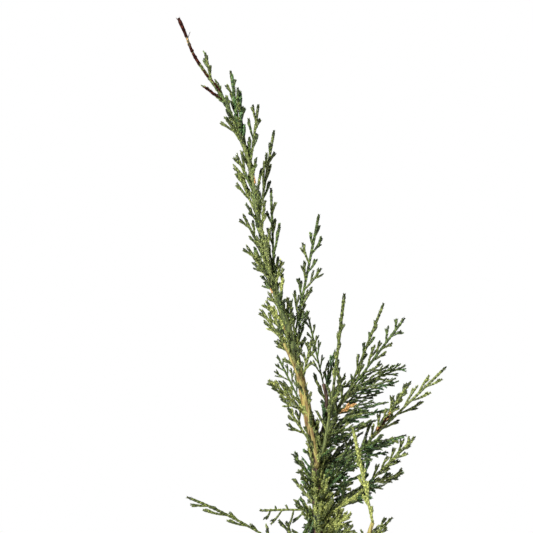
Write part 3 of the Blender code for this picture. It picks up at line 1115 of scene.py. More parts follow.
@dataclass
class Spray:
    """One mass of foliage: a stem with laterals on both sides, and side cords on those."""

    name: str
    carrier: str  # the limb that it grows from
    place: float  # millimetres up the trunk, or back from the tip of another limb
    heading: float
    rise: float
    length: float  # millimetres
    fan: float  # millimetres that its longest laterals reach
    roll: float = 0.0  # degrees that its plane is turned about the stem
    bow: float = 0.0  # millimetres that the stem bows upward
    tone: Tone = Tone.MID
    second: Tone = Tone.FRESH
    stem_tone: Tone = Tone.FRESH
    habit: Habit = Habit.FLAT
    upper: float = 1.0  # length of the laterals on the upper side, as a share of the lower ones

    STEM_STEPS = 12
    STEM_PITCH = 1.5 * MM
    STEM_OUT = 0.5  # share of the carrier's radius at which the stem starts
    STEM_RADII = (0.95 * MM, 1.25 * MM)  # at the root and at the tip
    LATERAL_RADII = (0.80 * MM, 1.25 * MM)
    SIDE_RADII = (0.75 * MM, 1.15 * MM)
    SPACING = 3.0 * MM  # along the stem, from one lateral to the next
    SPACING_SHARE = 0.16  # what the fan adds to that
    LEAST_LATERALS = 3
    LATERAL_OFFSET = 0.7  # where in its own stretch of the stem a lateral stands
    SHORT_ROOT = 0.7  # length of the laterals at the root of the stem, as a share of the fan
    SHORT_TIP = 0.3  # and of those at its tip
    ANGLE = 31.0  # degrees between a lateral and the stem
    ANGLE_STRAY = (0.75, 1.2)
    LENGTH_STRAY = (0.7, 1.25)
    TILT = 24.0  # degrees that a lateral strays out of the spray's plane
    SECOND_PLANE = 0.65  # length of the laterals that grow out of the spray's plane, as a share
    DEAL = (5, 3, 2)  # shares of the laterals in the spray's three tones
    CURL_STEPS = 3
    UPTURN = 14.0  # degrees that a lateral or a side cord bends towards the tip
    FORK_LENGTH = 5.0 * MM  # a shorter lateral has no side cords
    FORKED = 0.75  # share of a lateral that has side cords
    SIDE_SPACING = 4.7 * MM
    SIDE_PLACES = (0.28, 0.55)  # where the side cords start, and the share of the lateral they take
    SIDE_ANGLE = 30.0
    SIDE_ANGLE_STRAY = (0.8, 1.15)
    SIDE_LENGTH = (0.4, 2.3 * MM)  # share of what is left of the lateral, and what is added
    SIDE_LENGTH_STRAY = (0.8, 1.25)
    STUB_PLACES = (0.86, 0.93)  # where on the stem the short cords by its bud stand
    STUB_LENGTH = (2.0 * MM, 3.4 * MM)
    STUB_ANGLE = 24.0
    DARK_BUDS = 0.55  # share of the cords with a darker bud end

    def stem(self, limbs: dict[str, Line]) -> list[Vector]:
        """Finds the points of the stem, from inside what carries it to its tip.

        Args:
            limbs: the middle line of each limb.

        Returns:
            The points.
        """
        toward = direction(self.heading, self.rise)
        line = limbs[self.carrier]
        find = line.at_height if self.carrier == "trunk" else line.below_tip
        middle, along, radius = find(self.place * MM)
        outward = (toward - along * toward.dot(along)).normalized()
        start = middle + outward * radius * (self.STEM_OUT if self.place else 0.0)
        tip = middle + toward * self.length * MM
        bend = start.lerp(tip, 0.5) + Vector((0, 0, self.bow * MM))
        shares = [k / self.STEM_STEPS for k in range(self.STEM_STEPS + 1)]
        return [start * (1 - t) ** 2 + bend * 2 * t * (1 - t) + tip * t**2 for t in shares]

    def on_stem(self, stem: list[Vector], t: float) -> tuple[Vector, Vector]:
        """Finds a place on the stem.

        Args:
            stem: the points of the stem.
            t: how far along it the place is, from 0 at the root to 1 at the tip.

        Returns:
            The point and the direction there.
        """
        i = min(int(t * self.STEM_STEPS), self.STEM_STEPS - 1)
        spot = stem[i].lerp(stem[i + 1], t * self.STEM_STEPS - i)
        return spot, (stem[i + 1] - stem[i]).normalized()

    def share(self, t: float) -> float:
        """How long a lateral is for its place on the stem, from 0 at the root to 1 at the tip."""
        return min(1.0, self.SHORT_ROOT + t) * min(1.0, 1 + self.SHORT_TIP - t)

    @staticmethod
    def slimmed(radii: Range, slim: float) -> Range:
        """The radii of a cord at its root and its tip, for how slim the spray's cords are."""
        return radii[0] * slim, radii[1] * slim

    def cords(self, stem: list[Vector]) -> list[Cord]:
        """Grows the spray.

        Args:
            stem: the points of its stem.

        Returns:
            Its cords: the stem, the laterals, and their side cords.
        """
        rng = random.Random(f"{SEED} {self.name}")
        growth = GROWTHS[self.habit]
        heading = math.radians(self.heading)
        upright = Vector((-math.sin(heading), math.cos(heading), 0))
        radii = self.slimmed(self.STEM_RADII, growth.slim)
        bud = BUD_TONES.get(self.stem_tone)
        grown = [Cord(stem, upright, *radii, self.stem_tone, self.STEM_PITCH, tip_tone=bud)]
        step = (self.SPACING + self.SPACING_SHARE * self.fan * MM) * growth.step
        count = max(self.LEAST_LATERALS, round(self.length * MM * (1 - growth.free) / step))
        for number in range(count * growth.planes):
            plane, k = divmod(number, count)
            t = (k + self.LATERAL_OFFSET) / count * (1 - growth.free)
            start, along = self.on_stem(stem, t)
            side = 1 if k % 2 else -1
            spin = self.roll + RIGHT_ANGLE * plane + rng.uniform(-self.TILT, self.TILT)
            normal = turned(upright, spin, along)
            angle = side * self.ANGLE * growth.lean * rng.uniform(*self.ANGLE_STRAY)
            toward = turned(along, angle, normal).normalized()
            length = self.fan * MM * growth.reach * self.share(t) * rng.uniform(*self.LENGTH_STRAY)
            if plane:
                length *= self.SECOND_PLANE
            if side < 0:
                length *= self.upper
            tone = rng.choices((self.tone, self.second, self.stem_tone), self.DEAL)[0]
            grown += self.lateral(start, toward, normal, length, side, tone, rng)
        radius = self.SIDE_RADII[0] * growth.slim
        for t in self.STUB_PLACES:
            spot, along = self.on_stem(stem, t)
            spin = turned(upright, rng.uniform(0, FULL_TURN), along)
            branch = turned(along, self.STUB_ANGLE * growth.splay, spin)
            line = [spot, spot + branch * rng.uniform(*self.STUB_LENGTH)]
            grown.append(Cord(line, spin, radius, radius, self.tone))
        return grown

    def lateral(
        self,
        start: Vector,
        toward: Vector,
        normal: Vector,
        length: float,
        side: int,
        tone: Tone,
        rng: random.Random,
    ) -> list[Cord]:
        """Grows one lateral and its side cords.

        Args:
            start: where it leaves the stem.
            toward: its direction there.
            normal: across the plane of the spray.
            length: its length.
            side: 1 or -1, the side of the stem that it is on.
            tone: its colour.
            rng: the source of chance.

        Returns:
            The cords.
        """
        turn = -side * self.UPTURN
        growth = GROWTHS[self.habit]
        line = self.curl(start, toward, normal, length, turn)
        radii = self.slimmed(self.LATERAL_RADII, growth.slim)
        grown = [Cord(line, normal, *radii, tone, tip_tone=self.bud(tone, rng))]
        if length < self.FORK_LENGTH:
            return grown
        count = max(1, int(length * self.FORKED / self.SIDE_SPACING * growth.forks))
        radii = self.slimmed(self.SIDE_RADII, growth.slim)
        first, taken = self.SIDE_PLACES
        share, extra = self.SIDE_LENGTH
        odd = rng.choice((0, 1))
        for k in range(count):
            t = first + taken * (k + 0.5) / count
            i = min(int(t * self.CURL_STEPS), self.CURL_STEPS - 1)
            spot = line[i].lerp(line[i + 1], t * self.CURL_STEPS - i)
            hand = side if (k + odd) % 2 == 0 else -side
            angle = hand * self.SIDE_ANGLE * growth.splay * rng.uniform(*self.SIDE_ANGLE_STRAY)
            branch = turned(toward, turn * t + angle, normal)
            reach = (share * length * (1 - t) + extra) * rng.uniform(*self.SIDE_LENGTH_STRAY)
            twig = self.curl(spot, branch, normal, reach, -hand * self.UPTURN)
            grown.append(Cord(twig, normal, *radii, tone, tip_tone=self.bud(tone, rng)))
        return grown

    def bud(self, tone: Tone, rng: random.Random) -> Tone | None:
        """Finds the tone of a cord's bud end.

        Args:
            tone: the cord's own tone.
            rng: the source of chance.

        Returns:
            A darker tone, or nothing where the bud is like the rest.
        """
        return BUD_TONES.get(tone) if rng.random() < self.DARK_BUDS else None

    def curl(
        self, start: Vector, toward: Vector, normal: Vector, length: float, turn: float
    ) -> list[Vector]:
        """Finds a short line that bends evenly.

        Args:
            start: its first point.
            toward: its direction there.
            normal: the axis that it bends about.
            length: its length.
            turn: degrees that it bends in all.

        Returns:
            Its points.
        """
        points = [start]
        for k in range(self.CURL_STEPS):
            step = turned(toward, turn * (k + 0.5) / self.CURL_STEPS, normal)
            points.append(points[-1] + step * length / self.CURL_STEPS)
        return points


@dataclass
class Foliage:
    """All the sprays and the leader's sheath, joined by tone."""

    sprays: tuple[Spray, ...]
    sheath: list[Cord]
    leaves: dict[Tone, Pile] = field(default_factory=dict)
    cores: dict[Tone, Pile] = field(default_factory=dict)
    nodes: dict[Tone, list[str]] = field(default_factory=dict)

    CORE_PAINTED_SHADE = 0.4  # painted shade: the twig's colours are darkened to stand for the shade between the leaves that clothe it

    def add(self, cords: list[Cord], rng: np.random.Generator) -> None:
        """Adds cords to the piles of their tones.

        Args:
            cords: the cords.
            rng: the source of chance.
        """
        for cord in cords:
            tip = cord.tip_tone or cord.tone
            leaves = self.leaves.setdefault(cord.tone, Pile("leaves_" + cord.tone.value))
            tips = self.leaves.setdefault(tip, Pile("leaves_" + tip.value))
            core = self.cores.setdefault(cord.tone, Pile("twigs_" + cord.tone.value))
            cord.build(leaves, tips, core, rng)

    def grow(self, limbs: dict[str, Line]) -> None:
        """Grows every spray.

        Args:
            limbs: the middle line of each limb.
        """
        rng = np.random.default_rng(SEED)
        known = set(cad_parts)
        self.add(self.sheath, rng)
        for spray in self.sprays:
            self.add(spray.cords(spray.stem(limbs)), rng)
            if spray.name in known:
                self.nodes.setdefault(spray.tone, []).append(spray.name)

    def build(self, effects: Effects) -> list[bpy.types.Object]:
        """Joins the piles, and lets the leaves stand for the plain masses of their tone.

        Args:
            effects: the shared node groups.

        Returns:
            The pieces.
        """
        made = []
        for finish in FOLIAGE_FINISHES:
            # the twig cores get their tone's colours darkened, as painted shade between the leaves
            for kind, shade in ((self.leaves, 1.0), (self.cores, self.CORE_PAINTED_SHADE)):
                if finish.tone not in kind:
                    continue
                pile = kind[finish.tone]
                pieces = pile.build()
                self.dress(pieces, finish.material(effects, pile.name, shade))
                made += pieces
                if kind is self.leaves and self.nodes.get(finish.tone):
                    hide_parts(*self.nodes[finish.tone])
        return made

    @staticmethod
    def dress(pieces: list[bpy.types.Object], material: bpy.types.Material) -> None:
        """Gives joined pieces their finish.

        Args:
            pieces: the pieces of one pile.
            material: their material.
        """
        for piece in pieces:
            piece.data.materials.append(material)


@dataclass(frozen=True)
class Shoots:
    """Small shoots that clothe a limb between its sprays, too fine for a solid of their own."""

    limb: str
    spacing: float  # millimetres of limb between one shoot and the next
    length: float  # millimetres
    first: float = 3.0  # millimetres back from the limb's tip
    last: float = 1000.0
    lift: float = 32.0  # degrees off the limb's own line
    fan: float = 4.0
    tones: tuple[Tone, ...] = (Tone.MID,)

    SPIN = 137.5  # degrees round the limb from one shoot to the next
    SPIN_STRAY = 25.0
    LIFT_STRAY = (0.7, 1.3)
    LENGTH_STRAY = (0.65, 1.3)
    BARE_ROOT = 2.0  # millimetres at the limb's root without shoots

    def grow(self, line: Line) -> list[Spray]:
        """Lays the shoots along the limb.

        Args:
            line: the limb's middle line.

        Returns:
            The shoots, as small sprays.
        """
        rng = random.Random(f"{SEED} shoots {self.limb} {self.first}")
        last = min(self.last, line.length() / MM - self.BARE_ROOT)
        shoots = []
        for k in range(int((last - self.first) / self.spacing)):
            back = self.first + (k + rng.uniform(*JITTER)) * self.spacing
            middle, along, _ = line.below_tip(back * MM)
            spin = self.SPIN * k + rng.uniform(-self.SPIN_STRAY, self.SPIN_STRAY)
            spoke = turned(along.orthogonal(), spin, along)
            toward = turned(along, self.lift * rng.uniform(*self.LIFT_STRAY), along.cross(spoke))
            heading = math.degrees(math.atan2(toward.y, toward.x))
            rise = math.degrees(math.asin(toward.z))
            length = self.length * rng.uniform(*self.LENGTH_STRAY)
            place = middle.z / MM if self.limb == "trunk" else back
            tones = [rng.choice(self.tones) for _ in range(3)]
            roll = rng.uniform(0, HALF_TURN)
            name = f"{self.limb}_shoot_{self.first}_{k}"
            size = (length, self.fan)
            shoots.append(Spray(name, self.limb, place, heading, rise, *size, roll, 0, *tones))
        return shoots


@dataclass(frozen=True)
class Comb:
    """Fine twigs that leave one side of a limb one above another, nearly parallel."""

    limb: str
    low: float  # millimetres up the trunk, or back from the tip of another limb
    high: float
    count: int
    heading: float
    swing: float  # degrees that the headings stray to each side
    rise: float
    length: float  # millimetres
    fan: float
    tones: tuple[Tone, ...]
    habit: Habit = Habit.FINE

    RISE_STRAY = 7.0  # degrees up and down
    LENGTH_STRAY = (0.7, 1.25)

    def grow(self) -> list[Spray]:
        """Lays the twigs along the limb.

        Returns:
            The twigs, as small sprays.
        """
        rng = random.Random(f"{SEED} comb {self.limb} {self.low} {self.heading}")
        twigs = []
        for k in range(self.count):
            place = self.low + (k + rng.uniform(*JITTER)) / self.count * (self.high - self.low)
            heading = self.heading + rng.uniform(-self.swing, self.swing)
            rise = self.rise + rng.uniform(-self.RISE_STRAY, self.RISE_STRAY)
            length = self.length * rng.uniform(*self.LENGTH_STRAY)
            tones = [rng.choice(self.tones) for _ in range(3)]
            roll = rng.uniform(0, HALF_TURN)
            name = f"{self.limb}_comb_{self.low}_{self.heading}_{k}"
            size = (length, self.fan)
            looks = (*tones, self.habit)
            twigs.append(Spray(name, self.limb, place, heading, rise, *size, roll, 0, *looks))
        return twigs


@dataclass(frozen=True)
class Stretch:
    """A length of the leader whose scales are of one kind."""

    low: float  # metres above the ground
    high: float
    radii: Range
    tone: Tone
    pitch: float

    STEPS = 6


@dataclass(frozen=True)
class Scar:
    """A few withered scales on one side of the leader."""

    height: float  # metres above the ground
    heading: float
    length: float
    tone: Tone

    STEPS = 4
    LIFT = 0.15 * MM  # off the bark
    RADII = (0.9 * MM, 0.7 * MM)
    PITCH = 1.5 * MM


@dataclass(frozen=True)
class Bristle:
    """The last thin needle that stands off the dead tip."""

    height: float = 0.5205  # metres above the ground
    heading: float = 8.0
    rise: float = 70.0
    length: float = 5.5 * MM
    radii: Range = (0.42 * MM, 0.3 * MM)
    pitch: float = 1.6 * MM


@dataclass(frozen=True)
class Leader:
    """The long scale leaves that sheathe the top of the trunk, and its dead brown tip."""

    green_from: float = 0.3  # metres above the ground
    green_step: float = 0.021  # height of one green stretch
    overlap: float = 1.2 * MM  # of one green stretch and the next
    dead_from: float = 0.503
    sheath: float = 0.42 * MM  # how far the green leaves stand off the bark
    pitch: float = 1.9 * MM
    whorl_radius: float = 1.5 * MM  # where the leader is thicker the leaves stand in fours
    steps: int = 8
    tones: tuple[Tone, ...] = (Tone.DEEP, Tone.MID, Tone.DEEP, Tone.DEEP, Tone.MID)
    dead: tuple[Stretch, ...] = (
        Stretch(0.5025, 0.5125, (1.5 * MM, 1.3 * MM), Tone.BRONZE, 2.2 * MM),
        Stretch(0.5115, 0.5190, (1.4 * MM, 1.2 * MM), Tone.BRONZE, 1.8 * MM),
        Stretch(0.5180, 0.5225, (1.1 * MM, 1.0 * MM), Tone.WITHERED, 1.6 * MM),
        Stretch(0.5220, 0.5355, (1.3 * MM, 1.9 * MM), Tone.BRONZE, 2.1 * MM),
    )
    scars: tuple[Scar, ...] = (
        Scar(0.484, -40, 8.0 * MM, Tone.BRONZE),
        Scar(0.494, -110, 5.0 * MM, Tone.BRONZE),
        Scar(0.420, -20, 5.0 * MM, Tone.WITHERED),
        Scar(0.386, -70, 6.0 * MM, Tone.BRONZE),
        Scar(0.343, -170, 6.0 * MM, Tone.WITHERED),
        Scar(0.316, -150, 5.0 * MM, Tone.WITHERED),
    )
    bristle: Bristle = Bristle()

    def cords(self, trunk: Trunk) -> list[Cord]:
        """Finds the sheathing cords.

        Args:
            trunk: the trunk.

        Returns:
            Green stretches from the bottom up, the scars on them, the dead tip and its bristle.
        """
        return self._green(trunk) + self._scarred(trunk) + self._dead(trunk)

    def _green(self, trunk: Trunk) -> list[Cord]:
        """Finds the green stretches.

        Args:
            trunk: the trunk.

        Returns:
            Their cords, from the bottom up.
        """
        grown = []
        low = self.green_from
        while low < self.dead_from:
            high = min(low + self.green_step, self.dead_from) + self.overlap
            line = [trunk.middle(z) for z in np.linspace(low, high, self.steps)]
            radii = [trunk.radius(z) + self.sheath for z in (low, high)]
            ranks = 4 if radii[0] > self.whorl_radius else 3
            tone = self.tones[len(grown) % len(self.tones)]
            grown.append(Cord(line, Vector(BACK), *radii, tone, self.pitch, ranks))
            low += self.green_step
        return grown

    def _scarred(self, trunk: Trunk) -> list[Cord]:
        """Finds the withered scales.

        Args:
            trunk: the trunk.

        Returns:
            One cord a scar.
        """
        grown = []
        for scar in self.scars:
            out = direction(scar.heading, 0)
            heights = np.linspace(scar.height, scar.height + scar.length, scar.STEPS)
            line = [trunk.middle(z) + out * (trunk.radius(z) + scar.LIFT) for z in heights]
            grown.append(Cord(line, out, *scar.RADII, scar.tone, scar.PITCH))
        return grown

    def _dead(self, trunk: Trunk) -> list[Cord]:
        """Finds the dead tip.

        Args:
            trunk: the trunk.

        Returns:
            Its stretches from the bottom up, and the bristle.
        """
        grown = []
        for part in self.dead:
            line = [trunk.middle(z) for z in np.linspace(part.low, part.high, part.STEPS)]
            grown.append(Cord(line, Vector(BACK), *part.radii, part.tone, part.pitch))
        thin = self.bristle
        root = trunk.middle(thin.height)
        line = [root, root + direction(thin.heading, thin.rise) * thin.length]
        return grown + [Cord(line, Vector(BACK), *thin.radii, Tone.BRONZE, thin.pitch)]


# ---------------------------------------------------------------- the studio
@dataclass(frozen=True)
class Lamp:
    """A soft square lamp."""

    name: str
    place: Place
    size: float  # metres along its side
    power: float  # watts


@dataclass(frozen=True)
class Studio:
    """Pale floor, soft lights and the camera."""

    eye_height: float = 361.5 * MM
    eye_side: float = -37.5 * MM
    eye_distance: float = 1.6
    view_width: float = 373.1 * MM  # what the camera sees at the trunk
    sensor: float = 36.0
    floor_radius: float = 1.25
    floor_sides: int = 96
    floor_drop: float = 0.2 * MM  # below the cut of the trunk
    floor_grey: float = 0.93
    floor_roughness: float = 0.9
    floor_glow: float = 0.28  # keeps the floor pale to look at, and lights nothing
    ambient: float = 0.05
    aim: Place = (0, 0, 0.3)
    lamps: tuple[Lamp, ...] = (
        Lamp("key", (-0.9, -1.15, 1.45), 0.2, 78.0),
        Lamp("fill", (1.6, -0.5, 0.8), 1.2, 11.0),
        Lamp("back", (-0.3, 1.7, 1.2), 0.8, 36.0),
    )

    def build(self) -> None:
        """Sets up the floor, the world, the lamps and the camera."""
        self._floor()
        self._world()
        for lamp in self.lamps:
            self._hang(lamp)
        self._camera()
        view = bpy.context.scene.view_settings
        view.view_transform = "Standard"
        view.look = "None"

    def _floor(self) -> None:
        """A large round pale floor at ground level."""
        bpy.ops.mesh.primitive_circle_add(
            vertices=self.floor_sides, radius=self.floor_radius, fill_type="NGON"
        )
        floor = bpy.context.object
        floor.name = "studio_floor"
        floor.location = (0, 0, -self.floor_drop)
        material, shader = start_material("studio_floor")
        shader.inputs["Base Color"].default_value = (*[self.floor_grey] * 3, 1)
        shader.inputs["Roughness"].default_value = self.floor_roughness
        shader.inputs["Emission Color"].default_value = (1, 1, 1, 1)
        tree = material.node_tree
        ray = add_node(tree, "ShaderNodeLightPath")
        glow = add_node(tree, "ShaderNodeMath", operation="MULTIPLY")
        glow.inputs[1].default_value = self.floor_glow
        tree.links.new(ray.outputs["Is Camera Ray"], glow.inputs[0])
        tree.links.new(glow.outputs[0], shader.inputs["Emission Strength"])
        floor.data.materials.append(material)

    def _world(self) -> None:
        """White to look at, and dimmer as a light, so that the lamps model the shapes."""
        world = bpy.data.worlds.new("studio")
        bpy.context.scene.world = world
        world.use_nodes = True
        tree = world.node_tree
        seen = tree.nodes["Background"]
        seen.inputs["Color"].default_value = (1, 1, 1, 1)
        seen.inputs["Strength"].default_value = 1.0
        light = add_node(tree, "ShaderNodeBackground")
        light.inputs["Color"].default_value = (1, 1, 1, 1)
        light.inputs["Strength"].default_value = self.ambient
        ray = add_node(tree, "ShaderNodeLightPath")
        mix = add_node(tree, "ShaderNodeMixShader")
        tree.links.new(ray.outputs["Is Camera Ray"], mix.inputs["Fac"])
        tree.links.new(light.outputs[0], mix.inputs[1])
        tree.links.new(seen.outputs[0], mix.inputs[2])
        tree.links.new(mix.outputs[0], tree.nodes["World Output"].inputs["Surface"])

    def _hang(self, lamp: Lamp) -> None:
        """Hangs a lamp that faces the middle of the plant.

        Args:
            lamp: the lamp.
        """
        data = bpy.data.lights.new(lamp.name, "AREA")
        data.energy = lamp.power
        data.size = lamp.size
        hung = bpy.data.objects.new(lamp.name, data)
        hung.location = lamp.place
        beam = Vector(self.aim) - Vector(lamp.place)
        hung.rotation_euler = beam.to_track_quat("-Z", "Y").to_euler()
        bpy.context.scene.collection.objects.link(hung)

    def _camera(self) -> None:
        """Adds the camera, level and square on to the plant."""
        data = bpy.data.cameras.new("camera")
        data.sensor_width = self.sensor
        data.lens = self.sensor * self.eye_distance / self.view_width
        camera = bpy.data.objects.new("camera", data)
        camera.location = (self.eye_side, -self.eye_distance, self.eye_height)
        camera.rotation_euler = (math.radians(RIGHT_ANGLE), 0, 0)
        bpy.context.scene.collection.objects.link(camera)
        bpy.context.scene.camera = camera


# ---------------------------------------------------------------- this plant
L, F, M, D, S = Tone.LIME, Tone.FRESH, Tone.MID, Tone.DEEP, Tone.SHADE
T, B, W = Tone.STRAW, Tone.BRONZE, Tone.WITHERED
FLAT, BUSHY, FINE = Habit.FLAT, Habit.BUSHY, Habit.FINE
UPRIGHT, DROOPING, WHIP = Habit.UPRIGHT, Habit.DROOPING, Habit.WHIP

# name, height, runs, radii, finish
BOUGHS = (
    Bough("stem_front", 222, ((-90, 35, 7), (178, 80, 50), (182, 66, 36)), (1.4, 0.9), STRAW_SHOOT),
    Bough(
        "stem_second",
        205,
        ((60, 60, 5), (175, 82, 27), (5, 72, 16), (0, 86, 18), (178, 74, 10)),
        (1.9, 1.2),
        OLD_BARK,
    ),
    Bough("bough_whip", 227, ((-60, 56, 10), (-5, 80, 18), (12, 82, 26)), (1.4, 0.9), GREEN_SHOOT),
    Bough(
        "bough_right_upper",
        231,
        ((0, 62, 14), (8, 76, 22), (10, 50, 18)),
        (1.7, 1.0),
        GREEN_SHOOT,
    ),
    Bough(
        "bough_right_middle",
        220,
        ((-8, 20, 14), (12, 30, 15), (18, 42, 10)),
        (1.7, 1.0),
        GREEN_SHOOT,
    ),
    Bough("bough_right_lower", 187, ((-10, 44, 20), (-4, 32, 19)), (1.7, 1.0), GREEN_SHOOT),
    Bough(
        "bough_front_whip",
        128,
        ((-45, 42, 24), (-36, 58, 24), (-20, 70, 22)),
        (2.1, 1.3),
        STRAW_SHOOT,
    ),
    Bough(
        "bough_left_low",
        134,
        ((-160, 36, 14), (-164, 52, 20), (-168, 56, 20)),
        (2.4, 1.4),
        YOUNG_BARK,
    ),
    Bough("bough_back_low", 88, ((112, 24, 18), (108, 38, 22)), (2.2, 1.3), YOUNG_BARK),
    Bough("bough_front_low", 76, ((-118, 22, 18), (-112, 36, 22)), (2.2, 1.3), YOUNG_BARK),
)

# limb, spacing, length, first, last, lift, fan, tones
SHOOTS = (
    Shoots("trunk", 5.2, 14, 60, 110, 24, 4, (M, D, M)),
    Shoots("trunk", 5.0, 17, 110, 200, 24, 5, (M, F, M, D)),
    Shoots("trunk", 4.4, 18, 190, 262, 28, 7, (F, L, M, D)),
    Shoots("trunk", 3.6, 15, 334, 375, 34, 8, (L, F, D, S)),
    Shoots("trunk", 5.0, 44, 392, 460, 46, 14, (M, D, F, D)),
    Shoots("trunk", 5.5, 56, 460, 512, 58, 17, (M, D, F, D)),
    Shoots("trunk", 3.4, 25, 338, 440, 50, 9, (M, F, D)),
    Shoots("trunk", 4.5, 28, 440, 492, 58, 10, (M, D)),
    Shoots("stem_front", 8, 9, tones=(F, M, L)),
    Shoots("stem_second", 5.6, 17, 3, 60, 36, 8, (D, M, S)),
    Shoots("bough_whip", 4.5, 13, tones=(F, M)),
    Shoots("bough_right_upper", 6.5, 21, lift=36, fan=8, tones=(D, F, M)),
    Shoots("bough_right_middle", 6.0, 23, lift=38, fan=8, tones=(S, D, M)),
    Shoots("bough_right_lower", 6.0, 23, lift=38, fan=8, tones=(S, D, M)),
    Shoots("bough_front_whip", 9, 12, tones=(L, F, M)),
    Shoots("bough_left_low", 6, 15, tones=(M, F, D)),
    Shoots("bough_back_low", 5, 16, fan=6, tones=(M, D)),
    Shoots("bough_front_low", 5, 16, fan=6, tones=(M, F)),
)

# limb, low, high, count, heading, swing, rise, length, fan, tones, habit
COMBS = (
    Comb("trunk", 440, 462, 4, 110, 60, 82, 34, 7, (D, S, M), UPRIGHT),
    Comb("trunk", 186, 244, 9, 10, 44, 24, 44, 8, (D, M, S, M, F)),
    Comb("trunk", 190, 236, 6, -40, 34, 32, 30, 6, (D, S, M)),
    Comb("stem_second", 4, 70, 7, 12, 36, 28, 32, 7, (D, M, S)),
    Comb("bough_right_upper", 1, 40, 9, 2, 40, 12, 36, 9, (D, S, M, D, F)),
    Comb("bough_right_middle", 2, 34, 6, 15, 50, 14, 30, 8, (D, M, S)),
    Comb("bough_right_lower", 2, 36, 6, 15, 50, 8, 30, 8, (S, D, M)),
    Comb("trunk", 200, 264, 11, -108, 34, 72, 19, 4, (F, L, F, M)),
    Comb("trunk", 205, 275, 6, 80, 70, 50, 18, 6, (D, M, M)),
    Comb("trunk", 205, 240, 3, -20, 40, 58, 18, 5, (M, F, D)),
    Comb("trunk", 174, 236, 13, -118, 34, 63, 13, 4, (M, F, M, F, D)),
    Comb("trunk", 174, 200, 7, -74, 32, 58, 23, 9, (L, L, F), FLAT),
    Comb("trunk", 196, 238, 5, -55, 22, 73, 24, 5, (F, L, L)),
    Comb("trunk", 192, 222, 4, 178, 22, 52, 14, 2, (S, S, D)),
    Comb("trunk", 186, 193, 7, -165, 30, -62, 27, 3, (D, S, M)),
    Comb("trunk", 166, 186, 5, -38, 40, 30, 36, 11, (L, F, L), FLAT),
)

